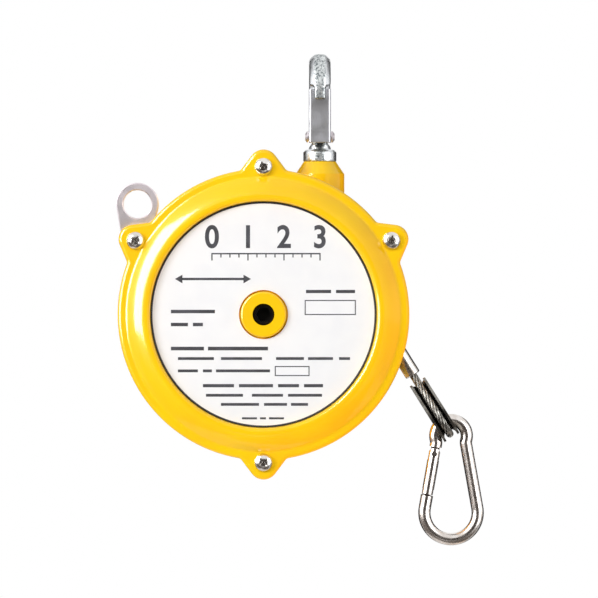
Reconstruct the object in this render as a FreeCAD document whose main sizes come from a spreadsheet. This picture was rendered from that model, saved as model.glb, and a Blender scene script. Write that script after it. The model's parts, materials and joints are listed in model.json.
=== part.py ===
# Spring balancer for hand tools: a drum on a coiled spring winds a wire rope into a round case,
# which hangs from a swivel hook. The load hangs on a snap hook at the rope's end.
#
# Frame: +Z up, the round cover faces -Y, millimetres. The origin is the point that carries the
# weight, inside the top of the suspension hook's bow, on the swivel axis.
import FreeCAD, Part
import math
import os
import re
import Sketcher

V = FreeCAD.Vector
doc = FreeCAD.newDocument("tool_balancer")

# Driving dimensions
SIZES = [
    # where the drum's axis lies from the swivel axis and the hook's seat
    ("neck_offset", 21.4, "swivel axis to the right of the drum axis"),
    # case, measured along Y from the swivel axis
    ("split_plane", -13, "joint face of the two case halves"),
    ("case_radius", 55.3, "rims of both halves"),
    ("cover_rim", 4, "thickness of the cover's rim"),
    ("rear_rim", 6, "thickness of the rear case's rim"),
    ("cup_step", 1.8, "rear case behind its rim, inside that rim"),
    ("cup_taper", 2, "draft of the rear case"),
    ("case_back", 24, "outside of the rear wall"),
    ("back_wall", 3, "rear wall"),
    ("back_round", 6, "round of the rear edge"),
    ("back_pad_radius", 15, "raised pad on the rear wall"),
    ("back_pad_height", 1.5, "height of that pad"),
    ("side_wall", 2, "wall of the rear case at its back"),
    ("edge_round", 1.5, "outer edge of the cover's rim"),
    # screw lugs
    ("lug_offset", 0.7, "screw centres outside the rim"),
    ("lug_tip_radius", 5.5, "round tip of a screw lug"),
    ("lug_tip_shift", 1.1, "centre of that round outside the screw"),
    ("lug_flank", 37, "lean of a lug's flanks, degrees"),
    ("lug_flank_length", 11, "flank, on into the rim"),
    ("lug_flare", 2, "hollow round where a lug meets the rim"),
    ("lug_depth", 9, "depth of the rear case's lugs"),
    ("screw_radius", 1.95, "shank of the case screws"),
    ("screw_length", 10, "case screw under its head"),
    ("head_radius", 3.5, "pan head"),
    ("head_height", 2.4, "pan head"),
    ("hole_clearance", 0.25, "round a screw in a through hole"),
    # front cover
    ("crown_edge", 11.7, "inner wall of the raised ring, inside the rim"),
    ("crown_land", 2.4, "flat top of the raised ring"),
    ("crown_slope", 5.2, "sloping outside of the raised ring"),
    ("crown_height", 4.2, "raised ring above the rim"),
    ("label_gap", 1.6, "groove between the label seat and the raised ring"),
    ("label_rise", 1.2, "label seat above the rim"),
    ("label_thickness", 0.5, "label plate"),
    ("cover_wall", 2.6, "wall behind the label"),
    ("moat_depth", 1.3, "narrow grooves round the label seat"),
    ("hub_radius", 8.65, "boss in the middle of the cover"),
    ("hub_height", 2.3, "boss above the label seat"),
    ("hub_hole", 9.3, "hole of the label round the boss"),
    ("hub_inner", 3.8, "boss inside the cover"),
    # suspension neck
    ("neck_radius", 9.4, "neck of the rear case"),
    ("neck_tip_radius", 6.2, "top of the neck's cone"),
    ("neck_cone", 4.7, "foot of the cone below the top of the neck"),
    ("neck_rise", 3, "top of the neck above the rim's highest point"),
    ("neck_bore", 9.8, "depth of the neck's bore"),
    ("shank_radius", 4.1, "shank of the suspension hook"),
    ("running_fit", 0.05, "radial play of a turning shaft"),
    ("bush_wall", 1.1, "neck bush"),
    # rope outlet
    ("rope_lean", 32, "lean of the rope from the vertical, degrees"),
    ("drum_growth", 7, "from the first groove's radius to the last one's"),
    ("rope_radius", 1.5, "wire rope"),
    ("guide_length", 6.6, "rope guide along the rope"),
    ("outlet_setback", 4.377, "outer end of the rope guide inside the rim"),
    ("guide_radius", 3.6, "rope guide"),
    ("guide_flange", 1.4, "flange of the rope guide round its tube"),
    ("outlet_radius", 4.6, "boss round the rope guide"),
    # drum
    ("groove_pitch", 3.6, "rope grooves"),
    ("groove_count", 5, "rope grooves"),
    ("drum_gap", 3.5, "between the drum's flange and the case"),
    ("flange_height", 3, "drum flanges above the rope line"),
    ("flange_thickness", 1.6, "front flange of the drum"),
    ("drum_wall", 5, "from the first groove's rope line to the spring chamber"),
    ("drum_floor", 2.6, "rear wall of the drum"),
    ("plate_thickness", 1.6, "drum plate"),
    # arbor
    ("arbor_core", 8, "core that carries the spring"),
    ("arbor_journal", 6.5, "journals that carry the drum"),
    ("arbor_tip", 4.05, "front end of the arbor"),
    ("arbor_pivot", 5, "rear end of the arbor"),
    ("key_width", 5, "hexagon socket across its flats"),
    ("key_depth", 5, "hexagon socket"),
    ("tip_recess", 2.6, "arbor's front end behind the face of the boss"),
    ("seat_width", 10, "hexagon of the ratchet seat across its flats"),
    ("ratchet_radius", 13, "ratchet wheel"),
    ("ratchet_depth", 1.8, "ratchet teeth"),
    ("ratchet_teeth", 14, "ratchet wheel"),
    ("ratchet_width", 2.5, "ratchet wheel"),
    ("washer_thickness", 0.7, "thrust washers"),
    ("end_play", 0.1, "axial play between turning faces"),
    # spiral spring
    ("spring_strip", 0.8, "thickness of the spring strip"),
    ("spring_width", 15, "width of the spring strip"),
    ("spring_pitch", 2.4, "from turn to turn"),
    # safety lug
    ("lug_plate", 3.2, "thickness of the safety lug"),
    ("lug_ring_radius", 8.1, "ring of the safety lug"),
    ("lug_hole_radius", 5.3, "hole of the safety lug"),
    ("lug_foot_radius", 5.3, "foot of the safety lug round its screw"),
    ("lug_ring_rise", 13.9, "ring centre above the screw"),
    ("lug_ring_shift", 0.6, "ring centre to the right of the screw"),
    # suspension hook
    ("hook_width", 8.3, "width of the hook across its bow"),
    ("bow_radius", 7, "inside of the bow"),
    ("bow_thickness", 6.8, "hook section at its top"),
    ("shank_length", 4.007, "straight part of the shank above the collar"),
    ("foot_bend", 8, "bend from the shank into the back of the hook"),
    ("back_bend", 14, "back of the hook, centre line"),
    ("nose_drop", 10.8, "tip of the nose below the seat"),
    ("hook_chamfer", 2.2, "chamfers along the bow"),
    ("collar_radius", 6.35, "collar of the hook"),
    ("collar_height", 4.5, "collar of the hook"),
    ("tongue_width", 4.2, "tongue at the hook's nose"),
    ("eye_width", 6, "part of the hook between the latch cheeks"),
    ("latch_play", 0.2, "between a cheek of the latch and the hook"),
    ("latch_sheet", 1, "sheet of the latch"),
    ("latch_depth", 5, "cheeks of the latch"),
    ("rivet_lift", 0.693, "latch rivet above the foot of the bends"),
    ("rivet_front", 4.5, "latch rivet in front of the swivel axis"),
    ("rivet_radius", 1.5, "latch rivet"),
    ("rivet_lug_radius", 2.4, "part of the hook round the latch rivet"),
    ("latch_wire", 0.35, "wire of the latch spring"),
    # thimble, ferrule and rope eye
    ("eye_wire", 2.35, "radius of the snap hook's wire"),
    ("eye_radius", 6, "centre line of the snap hook's eye"),
    ("eye_reach", 39.1, "snap hook's eye behind the start of the ferrule"),
    ("eye_play", 0.3, "between the thimble and the snap hook"),
    ("thimble_wall", 0.9, "sheet of the thimble"),
    ("thimble_bow", 5.5, "inside of the thimble's bow"),
    ("ferrule_gap", 0.3, "between the rope guide and the ferrule"),
    ("ferrule_length", 11.8, "ferrule"),
    ("ferrule_wall", 1.45, "ferrule"),
    ("strand_play", 0.05, "between the rope and what holds it"),
    # snap hook
    ("bend_radius", 10.15, "centre line of the large bend"),
    ("bend_drop", 29.2, "large bend below the eye"),
    ("leg_lean", 10, "lean of the legs, degrees"),
    ("kink_radius", 3, "bend between the eye and a leg"),
    ("pivot_drop", 6.9, "gate rivet below the eye"),
    ("gate_radius", 2.25, "gate"),
    ("gate_end", 22.3, "lower end of the gate below the eye"),
    ("gate_gap", 0.3, "between the gate and the nose"),
    ("slot_width", 1.7, "slots in the gate's ends"),
    ("slot_play", 0.1, "each side of a tab in its slot"),
    ("click_length", 20, "leaf of the click spring"),
    ("click_pin_radius", 1.4, "pin of the click spring"),
    ("turn_angle", 325, "rope on the drum's first and last grooves, degrees"),
    ("anchor_radius", 2.4, "barrel at the rope's inner end"),
    ("anchor_length", 4.3, "barrel at the rope's inner end"),
    ("plate_rim", 3.3, "drum plate outside the spring chamber"),
    ("plate_screw_radius", 1, "screws of the drum plate"),
    ("drum_hub_depth", 6, "hub in the drum's rear wall"),
    ("drum_bush_wall", 1.5, "bush in the drum's hub"),
    ("pin_radius", 1, "gate rivet"),
    ("plunger_radius", 1.1, "plunger in the gate"),
    ("well_depth", 9, "bore of the gate"),
]

# Sizes that follow from others
TIED = [
    ("cup_radius", "case_radius - cup_step", "rear case behind its rim"),
    ("cavity_radius", "cup_radius - cup_taper - side_wall", "inside of the case"),
    ("screw_circle", "case_radius + lug_offset", "pitch radius of the case screws"),
    ("crown_radius", "case_radius - crown_edge", "inner wall of the raised ring"),
    ("label_radius", "crown_radius - label_gap", "round seat of the label"),
    ("drum_big_radius", "cavity_radius - drum_gap - flange_height", "rope line on the last groove"),
    ("lead_radius", "drum_big_radius - drum_growth", "rope line on the first groove"),
    ("chamber_radius", "lead_radius - drum_wall", "spring chamber in the drum"),
    ("plate_radius", "chamber_radius + plate_rim", "drum plate"),
    # heights above the drum axis
    ("neck_top", "case_radius + neck_rise", "top of the neck"),
    ("neck_shoulder", "neck_top - neck_cone", "foot of the neck's cone"),
    ("neck_seat", "neck_top - neck_bore", "underside of the neck's bore"),
    ("bow_middle", "bow_radius + bow_thickness / 2", "centre line of the hook's bow"),
    ("bend_turn", "acos(1 - bow_middle / (back_bend + foot_bend))", "turn of the hook's two lower bends"),
    ("bend_rise", "(back_bend + foot_bend) * sin(bend_turn)", "height of those bends"),
    ("rivet_height", "bow_radius + bend_rise - rivet_lift", "latch rivet below the seat"),
    ("latch_width", "eye_width + 2 * (latch_sheet + latch_play)", "latch across its cheeks"),
    ("hook_rise", "end_play + collar_height + shank_length + bend_rise + bow_radius", "seat above the neck"),
    ("seat_height", "neck_top + hook_rise", "hook seat above the drum axis"),
    # along the rope line, from its tangent point
    ("guide_end", "sqrt(case_radius ^ 2 - lead_radius ^ 2) - outlet_setback", "outer end of the rope guide"),
    ("guide_start", "guide_end - guide_length", "inner end of the rope guide"),
    ("ferrule_start", "guide_end + ferrule_gap", "ferrule"),
    ("eye_distance", "ferrule_start + eye_reach", "snap hook's eye"),
]

sheet = doc.addObject("Spreadsheet::Sheet", "sizes")
tied = [(alias, "=" + formula, meaning) for alias, formula, meaning in TIED]
for row, (alias, content, meaning) in enumerate(SIZES + tied, start=1):
    sheet.set(f"A{row}", meaning)
    sheet.set(f"B{row}", str(content))
    sheet.setAlias(f"B{row}", alias)
doc.recompute()
ALIASES = {alias for alias, content, meaning in SIZES + tied}

# Places that follow from the driving dimensions
FACE = "(split_plane - cover_rim)"
CROWN = f"({FACE} - crown_height)"
SEAT = f"({FACE} - label_rise)"
COVER_INSIDE = f"({SEAT} + cover_wall)"
HUB_FACE = f"({SEAT} - hub_height)"
HUB_END = f"({COVER_INSIDE} + hub_inner)"
CAVITY_BACK = "(case_back - back_wall)"
RATCHET_FRONT = f"({HUB_END} + end_play)"
RATCHET_BACK = f"({RATCHET_FRONT} + ratchet_width)"
DRUM_FRONT = f"({RATCHET_BACK} + washer_thickness + 2 * end_play)"
GROOVE_FRONT = f"({DRUM_FRONT} + flange_thickness)"
GROOVE_BACK = f"({GROOVE_FRONT} + groove_count * groove_pitch + rope_radius)"
DRUM_BACK = f"({GROOVE_BACK} + drum_floor)"
REAR_BOSS = f"({DRUM_BACK} + washer_thickness + 2 * end_play)"
SPRING_FRONT = f"({GROOVE_FRONT} + 0.8)"
# the plane of the straight rope, which runs off the first groove
LEAD = f"({GROOVE_FRONT} + groove_pitch / 2)"
LAST_GROOVE = f"({LEAD} + (groove_count - 1) * groove_pitch)"
# the click spring's foot beside the ratchet wheel, and the place of its pin
CLICK_ROOT = "-(ratchet_radius - ratchet_depth + 0.35)"
CLICK_PIN = (f"({CLICK_ROOT} - 3.8)", "click_length")


def linked(text):
    """The expression with every size read from the sheet."""
    def cell(word):
        return f"sizes.{word.group()}" if word.group() in ALIASES else word.group()

    return re.sub(r"[a-z_]+", cell, text)


def value(text):
    """The expression's present value, in mm or degrees."""
    return float(sheet.evalExpression(linked(text)))


def bind(thing, **expressions):
    """Bind properties to expressions; a double underscore stands for a dot."""
    for name, text in expressions.items():
        thing.setExpression(name.replace("__", "."), linked(text))


def place(thing, x="0", y="0", z="0", axis=V(0, 1, 0), angle="0"):
    thing.Placement = FreeCAD.Placement(V(), FreeCAD.Rotation(axis, 1))
    bind(thing, Placement__Base__x=x, Placement__Base__y=y, Placement__Base__z=z)
    bind(thing, Placement__Rotation__Angle=angle)


DRUM_AXIS = dict(x="-neck_offset", z="-seat_height")
ROPE_LINE = dict(
    x="-neck_offset + lead_radius * cos(rope_lean)",
    y=LEAD,
    z="-seat_height + lead_radius * sin(rope_lean)",
    angle="-rope_lean",
)
# the rope eye's middle plane, one rope radius in front of the straight rope
EYE_LINE = dict(ROPE_LINE, y=f"{LEAD} - rope_radius - strand_play")
SNAP_EYE = dict(
    x="-neck_offset + lead_radius * cos(rope_lean) + eye_distance * sin(rope_lean)",
    y=f"{LEAD} - rope_radius - strand_play",
    z="-seat_height + lead_radius * sin(rope_lean) - eye_distance * cos(rope_lean)",
)


def new_body(name, **where):
    body = doc.addObject("PartDesign::Body", name)
    body.Label = name
    place(body, **where)
    return body


def draw(sketch, outline, closed=True):
    """Add an outline. A corner is (x, y); an edge that leaves a corner (x, y, radius, side)
    is an arc whose centre lies on that side of the way ahead."""
    if outline[0] == "circle":
        x, y, radius = outline[1:]
        index = sketch.addGeometry(Part.Circle(V(value(x), value(y), 0), V(0, 0, 1), value(radius)), False)
        centre = (-1, 1, index, 3)
        limits = [("DistanceX", centre, x), ("DistanceY", centre, y), ("Radius", (index,), radius)]
        for kind, where, text in limits:
            number = sketch.addConstraint(Sketcher.Constraint(kind, *where, value(text)))
            sketch.setExpression(f"Constraints[{number}]", linked(text))
        return
    corners = [V(value(corner[0]), value(corner[1]), 0) for corner in outline]
    edges = []
    legs = outline if closed else outline[:-1]
    for here, corner in enumerate(legs):
        a, b = corners[here], corners[(here + 1) % len(outline)]
        if len(corner) == 2:
            edges.append((sketch.addGeometry(Part.LineSegment(a, b), False), 1, 2))
            continue
        radius, left = value(corner[2]), corner[3] == "left"
        chord = b - a
        height = math.sqrt(max(radius ** 2 - (chord.Length / 2) ** 2, 0))
        across = V(-chord.y, chord.x, 0).normalize() * (height if left else -height)
        centre = (a + b) / 2 + across
        first, last = (a, b) if left else (b, a)
        angles = [math.atan2(p.y - centre.y, p.x - centre.x) for p in (first, last)]
        if angles[1] < angles[0]:
            angles[1] += 2 * math.pi
        whole = Part.Circle(centre, V(0, 0, 1), radius)
        index = sketch.addGeometry(Part.ArcOfCircle(whole, *angles), False)
        edges.append((index, 1, 2) if left else (index, 2, 1))
        number = sketch.addConstraint(Sketcher.Constraint("Radius", index, radius))
        sketch.setExpression(f"Constraints[{number}]", linked(corner[2]))
    fixed = [(index, start, outline[here]) for here, (index, start, end) in enumerate(edges)]
    if not closed:
        fixed.append((edges[-1][0], edges[-1][2], outline[-1]))
    for here, (index, start, end) in enumerate(edges if closed else edges[:-1]):
        following = edges[(here + 1) % len(edges)]
        sketch.addConstraint(Sketcher.Constraint("Coincident", index, end, following[0], following[1]))
    for index, point, corner in fixed:
        for kind, text in (("DistanceX", corner[0]), ("DistanceY", corner[1])):
            number = sketch.addConstraint(Sketcher.Constraint(kind, -1, 1, index, point, value(text)))
            sketch.setExpression(f"Constraints[{number}]", linked(text))


def add_sketch(body, name, plane, outlines, level="0", turn="0", axis=None, closed=True):
    """A sketch on one of the body's own planes, lifted by level along its normal. The XZ plane's
    normal is -Y. axis is the x at which a construction line stands to turn the outline about."""
    sketch = body.newObject("Sketcher::SketchObject", name)
    origin = [item for item in body.Origin.OriginFeatures if item.Role == f"{plane}_Plane"][0]
    sketch.AttachmentSupport = (origin, [""])
    sketch.MapMode = "FlatFace"
    bind(sketch, AttachmentOffset__Base__z=level, AttachmentOffset__Rotation__Angle=turn)
    if axis:
        x = value(axis)
        line = sketch.addGeometry(Part.LineSegment(V(x, -1, 0), V(x, 1, 0)), True)
        for end, y in ((1, -1), (2, 1)):
            number = sketch.addConstraint(Sketcher.Constraint("DistanceX", -1, 1, line, end, x))
            sketch.setExpression(f"Constraints[{number}]", linked(axis))
            sketch.addConstraint(Sketcher.Constraint("DistanceY", -1, 1, line, end, y))
    for outline in outlines:
        draw(sketch, outline, closed)
    return sketch


def volume(body):
    return 0 if body.Shape.isNull() else body.Shape.Volume


def changed(body, feature, grows):
    """Recompute, and check that the feature really added or took away metal."""
    before = volume(body)
    doc.recompute()
    after = volume(body)
    if not (after > before + 1e-6 if grows else after < before - 1e-6):
        raise RuntimeError(f"{body.Label}: {feature.Name} changes nothing, {before:.3f} to {after:.3f}")
    return feature


def turned(body, name, plane, outlines, cut=False, axis=None, angle="360", **where):
    """Turn outlines about the sketch's upright axis, or about the line at x = axis."""
    sketch = add_sketch(body, name + "_outline", plane, outlines, axis=axis, **where)
    feature = body.newObject("PartDesign::Groove" if cut else "PartDesign::Revolution", name)
    feature.Profile = sketch
    feature.ReferenceAxis = (sketch, ["Axis0" if axis else "V_Axis"])
    feature.Reversed = angle != "360"
    bind(feature, Angle=angle)
    return changed(body, feature, not cut)


def pad(body, name, plane, outlines, level, length, turn="0"):
    """Metal from the plane's level on, in the direction of its normal."""
    feature = body.newObject("PartDesign::Pad", name)
    feature.Profile = add_sketch(body, name + "_outline", plane, outlines, level, turn)
    bind(feature, Length=length)
    return changed(body, feature, True)


def pocket(body, name, plane, outlines, level, length, turn="0"):
    """A cut from the plane's level on, against the direction of its normal."""
    feature = body.newObject("PartDesign::Pocket", name)
    feature.Profile = add_sketch(body, name + "_outline", plane, outlines, level, turn)
    bind(feature, Length=length)
    return changed(body, feature, False)


def edges_where(body, test):
    return [f"Edge{number}" for number, edge in enumerate(body.Tip.Shape.Edges, start=1) if test(edge)]


def round_edges(body, name, radius, test, kind="Fillet"):
    names = edges_where(body, test)
    if not names:
        raise RuntimeError(f"{body.Label}: {name} finds no edge")
    base = body.Tip
    feature = body.newObject("PartDesign::" + kind, name)
    feature.Base = (base, names)
    bind(feature, **{"Radius" if kind == "Fillet" else "Size": radius})
    doc.recompute()
    if "Invalid" in feature.State:
        raise RuntimeError(f"{body.Label}: {name} fails")
    return feature


def ring_at(radius, level, slack=0.02):
    """A test for circles about the body's Y axis, of this radius and at this level."""
    radius, level = value(radius), value(level)

    def test(edge):
        curve = edge.Curve
        if not isinstance(curve, Part.Circle) or abs(curve.Radius - radius) > slack:
            return False
        return abs(curve.Center.y - level) < slack and math.hypot(curve.Center.x, curve.Center.z) < slack

    return test


def ring(name, inner, outer, start, end, plane="XY", **where):
    """A plain bush or washer, about Y on the XY plane or about Z on the XZ plane."""
    body = new_body(name, **where)
    outline = [(inner, start), (outer, start), (outer, end), (inner, end)]
    turned(body, name + "_ring", plane, [outline])
    return body


def compound(name, pieces):
    """Several separate solids in one node."""
    group = doc.addObject("Part::Compound", name)
    group.Links = pieces
    group.Label = name
    doc.recompute()
    return group


# Case screws stand on one circle; the left one also holds the safety lug
LUG_ANGLES = ["30", "90", "150", "270"]
SAFETY_LUG_ANGLE = "150"


def on_screw_circle(angle):
    return f"screw_circle * cos({angle})", f"screw_circle * sin({angle})"


def lug_circles(radius):
    return [("circle", *on_screw_circle(angle), radius) for angle in LUG_ANGLES]


def lug_outlines():
    """A round tip and two straight flanks that widen towards the rim."""
    outlines = []
    for angle in LUG_ANGLES:
        middle = "(screw_circle + lug_tip_shift)"
        touch = "(90 - lug_flank)"
        out = f"({middle} + lug_tip_radius * cos({touch}))"
        aside = f"(lug_tip_radius * sin({touch}))"
        foot_out = f"({out} - lug_flank_length * cos(lug_flank))"
        foot_aside = f"({aside} + lug_flank_length * sin(lug_flank))"

        def at(ahead, left):
            x = f"{ahead} * cos({angle}) - {left} * sin({angle})"
            return x, f"{ahead} * sin({angle}) + {left} * cos({angle})"

        outlines.append([
            at(foot_out, f"(-{foot_aside})"),
            (*at(out, f"(-{aside})"), "lug_tip_radius", "left"),
            at(out, aside),
            at(foot_out, foot_aside),
        ])
    return outlines


def lug_corner(edge):
    """The upright edges where a lug's side meets the rim."""
    ends = [vertex.Point for vertex in edge.Vertexes]
    if len(ends) != 2 or abs(ends[0].x - ends[1].x) > 0.01 or abs(ends[0].z - ends[1].z) > 0.01:
        return False
    return abs(math.hypot(ends[0].x, ends[0].z) - value("case_radius")) < 0.01


def outer_rim(level):
    """Edges of the outline, lugs included, at one level."""
    level = value(level)

    def test(edge):
        inside = value("case_radius") - 0.1
        box = edge.BoundBox
        at_level = abs(box.YMin - level) < 0.01 and abs(box.YMax - level) < 0.01
        ends = edge.Vertexes
        return at_level and len(ends) == 2 and all(math.hypot(end.X, end.Z) > inside for end in ends)

    return test


def safety_lug_outline(extra):
    """Two circles and their common tangents, as seen from the front; extra is added all round."""
    foot_x, foot_y = on_screw_circle(SAFETY_LUG_ANGLE)
    top_x, top_y = f"({foot_x} + lug_ring_shift)", f"({foot_y} + lug_ring_rise)"
    span = "sqrt(lug_ring_shift ^ 2 + lug_ring_rise ^ 2)"
    tilt = "atan2(lug_ring_rise; lug_ring_shift)"
    spread = f"acos((lug_foot_radius - lug_ring_radius) / {span})"
    top, foot = f"(lug_ring_radius + {extra})", f"(lug_foot_radius + {extra})"
    right, left = f"({tilt} - {spread})", f"({tilt} + {spread})"

    def at(x, y, radius, angle):
        return f"{x} + {radius} * cos({angle})", f"{y} + {radius} * sin({angle})"

    return [
        (*at(foot_x, foot_y, foot, right),),
        (*at(top_x, top_y, top, right), top, "left"),
        (*at(top_x, top_y, top, tilt), top, "left"),
        (*at(top_x, top_y, top, left),),
        (*at(foot_x, foot_y, foot, left), foot, "left"),
        (*at(foot_x, foot_y, foot, f"{tilt} + 180 deg"), foot, "left"),
    ]


def hexagon(width, x="0", y="0"):
    corner = f"({width} / 2 / cos(30))"
    return [(f"{x} + {corner} * cos({60 * i})", f"{y} + {corner} * sin({60 * i})") for i in range(6)]


def box_outline(x0, x1, y0, y1):
    return [(x0, y0), (x1, y0), (x1, y1), (x0, y1)]


# Rear case: a deep cup with the suspension neck and the rope outlet
def make_rear_case():
    body = new_body("rear_case", **DRUM_AXIS)
    cup = [
        ("0", "split_plane"),
        ("case_radius", "split_plane"),
        ("case_radius", "split_plane + rear_rim"),
        ("cup_radius", "split_plane + rear_rim"),
        ("cup_radius - cup_taper", "case_back"),
        ("back_pad_radius + back_pad_height", "case_back"),
        ("back_pad_radius", "case_back + back_pad_height"),
        ("0", "case_back + back_pad_height"),
    ]
    turned(body, "cup", "XY", [cup])
    round_edges(body, "back_edge", "back_round", ring_at("cup_radius - cup_taper", "case_back"))
    neck = [
        ("neck_offset", "neck_shoulder - 4 * neck_radius"),
        ("neck_offset + neck_radius", "neck_shoulder - 4 * neck_radius"),
        ("neck_offset + neck_radius", "neck_shoulder"),
        ("neck_offset + neck_tip_radius", "neck_top"),
        ("neck_offset", "neck_top"),
    ]
    turned(body, "neck", "XZ", [neck], axis="neck_offset")
    pad(body, "lugs", "XZ", lug_outlines(), "-split_plane - lug_depth", "lug_depth")
    round_edges(body, "lug_flares", "lug_flare", lug_corner)
    cavity = [("circle", "0", "0", "cavity_radius")]
    pocket(body, "cavity", "XZ", cavity, "-split_plane", f"{CAVITY_BACK} - split_plane")
    boss = [("circle", "0", "0", "arbor_pivot + 4")]
    pad(body, "arbor_boss", "XZ", boss, f"-{CAVITY_BACK}", f"{CAVITY_BACK} - {REAR_BOSS}")
    bore = [("circle", "0", "0", "arbor_pivot + running_fit + bush_wall")]
    pocket(body, "arbor_bore", "XZ", bore, f"-{REAR_BOSS}", f"{CAVITY_BACK} + 2.1 - {REAR_BOSS}")
    # hook shank: a bore for its bush, and room inside for its washer and ring
    bush = "shank_radius + running_fit + bush_wall"
    shank_bore = [
        ("neck_offset", "neck_seat - neck_radius"),
        (f"neck_offset + {bush} + 2", "neck_seat - neck_radius"),
        (f"neck_offset + {bush} + 2", "neck_seat"),
        (f"neck_offset + {bush}", "neck_seat"),
        (f"neck_offset + {bush}", "neck_top + 1"),
        ("neck_offset", "neck_top + 1"),
    ]
    turned(body, "shank_bore", "XZ", [shank_bore], cut=True, axis="neck_offset")
    # rope outlet: a boss round the guide, the guide's bore and a scallop for the ferrule
    outlet = [
        ("lead_radius", "-guide_end"),
        ("lead_radius + outlet_radius", "-guide_end"),
        ("lead_radius + outlet_radius", "-guide_start"),
        ("lead_radius", "-guide_start"),
    ]
    along_rope = dict(axis="lead_radius", level=f"-{LEAD}", turn="rope_lean")
    turned(body, "outlet_boss", "XZ", [outlet], **along_rope)
    guide_bore = [
        ("lead_radius", "-guide_end - 1"),
        ("lead_radius + guide_radius", "-guide_end - 1"),
        ("lead_radius + guide_radius", "-guide_start"),
        ("lead_radius + guide_radius + guide_flange + 0.1", "-guide_start"),
        ("lead_radius + guide_radius + guide_flange + 0.1", "-guide_start + 5"),
        ("lead_radius", "-guide_start + 5"),
    ]
    turned(body, "guide_bore", "XZ", [guide_bore], cut=True, **along_rope)
    half = "(rope_radius + strand_play + ferrule_wall + 0.25)"
    depth = "(2 * rope_radius + ferrule_wall + 0.6)"
    scallop = box_outline(f"lead_radius - {half}", f"lead_radius + {half}", "-guide_end - 25", "-guide_end")
    level = f"-{LEAD} + rope_radius + {depth}"
    pocket(body, "ferrule_scallop", "XZ", [scallop], level, f"2 * {depth}", turn="rope_lean")
    pocket(body, "lug_seat", "XZ", [safety_lug_outline("0.1")], "-split_plane", "lug_plate")
    holes = lug_circles("screw_radius + 0.05")
    pocket(body, "screw_holes", "XZ", holes, "-split_plane", "lug_depth - 1.5")
    return body


# Front cover: a rim with lugs, a raised ring, the label seat and the arbor's boss
def make_front_cover():
    body = new_body("front_cover", **DRUM_AXIS)
    slope_top = "(crown_radius + crown_land)"
    slope_foot = f"({slope_top} + crown_slope)"
    outline = [
        ("arbor_tip + 2 * running_fit", HUB_FACE),
        ("arbor_tip + 2 * running_fit", HUB_END),
        ("hub_radius", HUB_END),
        ("hub_radius", COVER_INSIDE),
        ("crown_radius + 2", COVER_INSIDE),
        (f"{slope_top}", f"{CROWN} + 2.4"),
        (f"{slope_top} + 1", f"{CROWN} + 2.4"),
        ("cavity_radius", f"{FACE} + 1.6"),
        ("cavity_radius", "split_plane"),
        ("case_radius", "split_plane"),
        ("case_radius", FACE),
        (slope_foot, FACE),
        (slope_top, CROWN),
        ("crown_radius", CROWN),
        ("crown_radius", f"{SEAT} + moat_depth"),
        ("label_radius", f"{SEAT} + moat_depth"),
        ("label_radius", SEAT),
        ("hub_hole", SEAT),
        ("hub_hole", f"{SEAT} + moat_depth"),
        ("hub_radius", f"{SEAT} + moat_depth"),
        ("hub_radius", HUB_FACE),
    ]
    turned(body, "cover", "XY", [outline])
    round_edges(body, "crown_shoulder", "1.5", ring_at(slope_top, CROWN))
    round_edges(body, "crown_lip", "0.8", ring_at("crown_radius", CROWN))
    round_edges(body, "hub_edge", "0.8", ring_at("hub_radius", HUB_FACE))
    pad(body, "lugs", "XZ", lug_outlines(), "-split_plane", "cover_rim")
    round_edges(body, "lug_flares", "lug_flare", lug_corner)
    round_edges(body, "rim_edge", "edge_round", outer_rim(FACE))
    holes = lug_circles("screw_radius + hole_clearance")
    pocket(body, "screw_holes", "XZ", holes, f"-{FACE} + 1", "cover_rim + 2")
    # what holds the click spring: the hole of its pin, and a post that its leaf bends against
    pin = [("circle", *CLICK_PIN, "click_pin_radius + 0.02")]
    pocket(body, "click_pin_hole", "XZ", pin, f"-{COVER_INSIDE} + 2.05", "2.05 + 1")
    post = [("circle", f"{CLICK_ROOT} - 3.4", "click_length * 0.6", "1.5")]
    pad(body, "click_post", "XZ", post, f"-{RATCHET_BACK}", f"{RATCHET_BACK} - {COVER_INSIDE}")
    return body


def make_screw():
    """One pan-head screw about Z, its head's underside at z = 0."""
    body = new_body("case_screw")
    outline = [
        ("0", "-screw_length"),
        ("screw_radius - 0.4", "-screw_length"),
        ("screw_radius", "-screw_length + 0.6"),
        ("screw_radius", "0"),
        ("head_radius", "0"),
        ("head_radius", "head_height * 0.35"),
        ("head_radius - 1.4", "head_height"),
        ("0", "head_height"),
    ]
    turned(body, "screw", "XZ", [outline])
    arm, half = "head_radius * 0.58", "head_radius * 0.13"
    for number, turn in enumerate(("0", "90")):
        slot = box_outline(f"-{arm}", arm, f"-{half}", half)
        pocket(body, f"cross_{number}", "XY", [slot], "head_height", "head_height * 0.7", turn=turn)
    return body


def make_case_screws():
    pattern = make_screw()
    copies = []
    for number, angle in enumerate(LUG_ANGLES):
        copy = doc.addObject("App::Link", f"screw_{number}")
        copy.LinkedObject = pattern
        copy.LinkTransform = True
        x, z = on_screw_circle(angle)
        place(copy, x=f"-neck_offset + {x}", y=FACE, z=f"-seat_height + {z}", axis=V(1, 0, 0), angle="90")
        copies.append(copy)
    return compound("case_screws", copies)


def make_nameplate():
    """A thin blank disc on the label seat, open round the boss."""
    return ring("nameplate", "hub_hole", "label_radius", SEAT, f"{SEAT} - label_thickness", **DRUM_AXIS)


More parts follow.
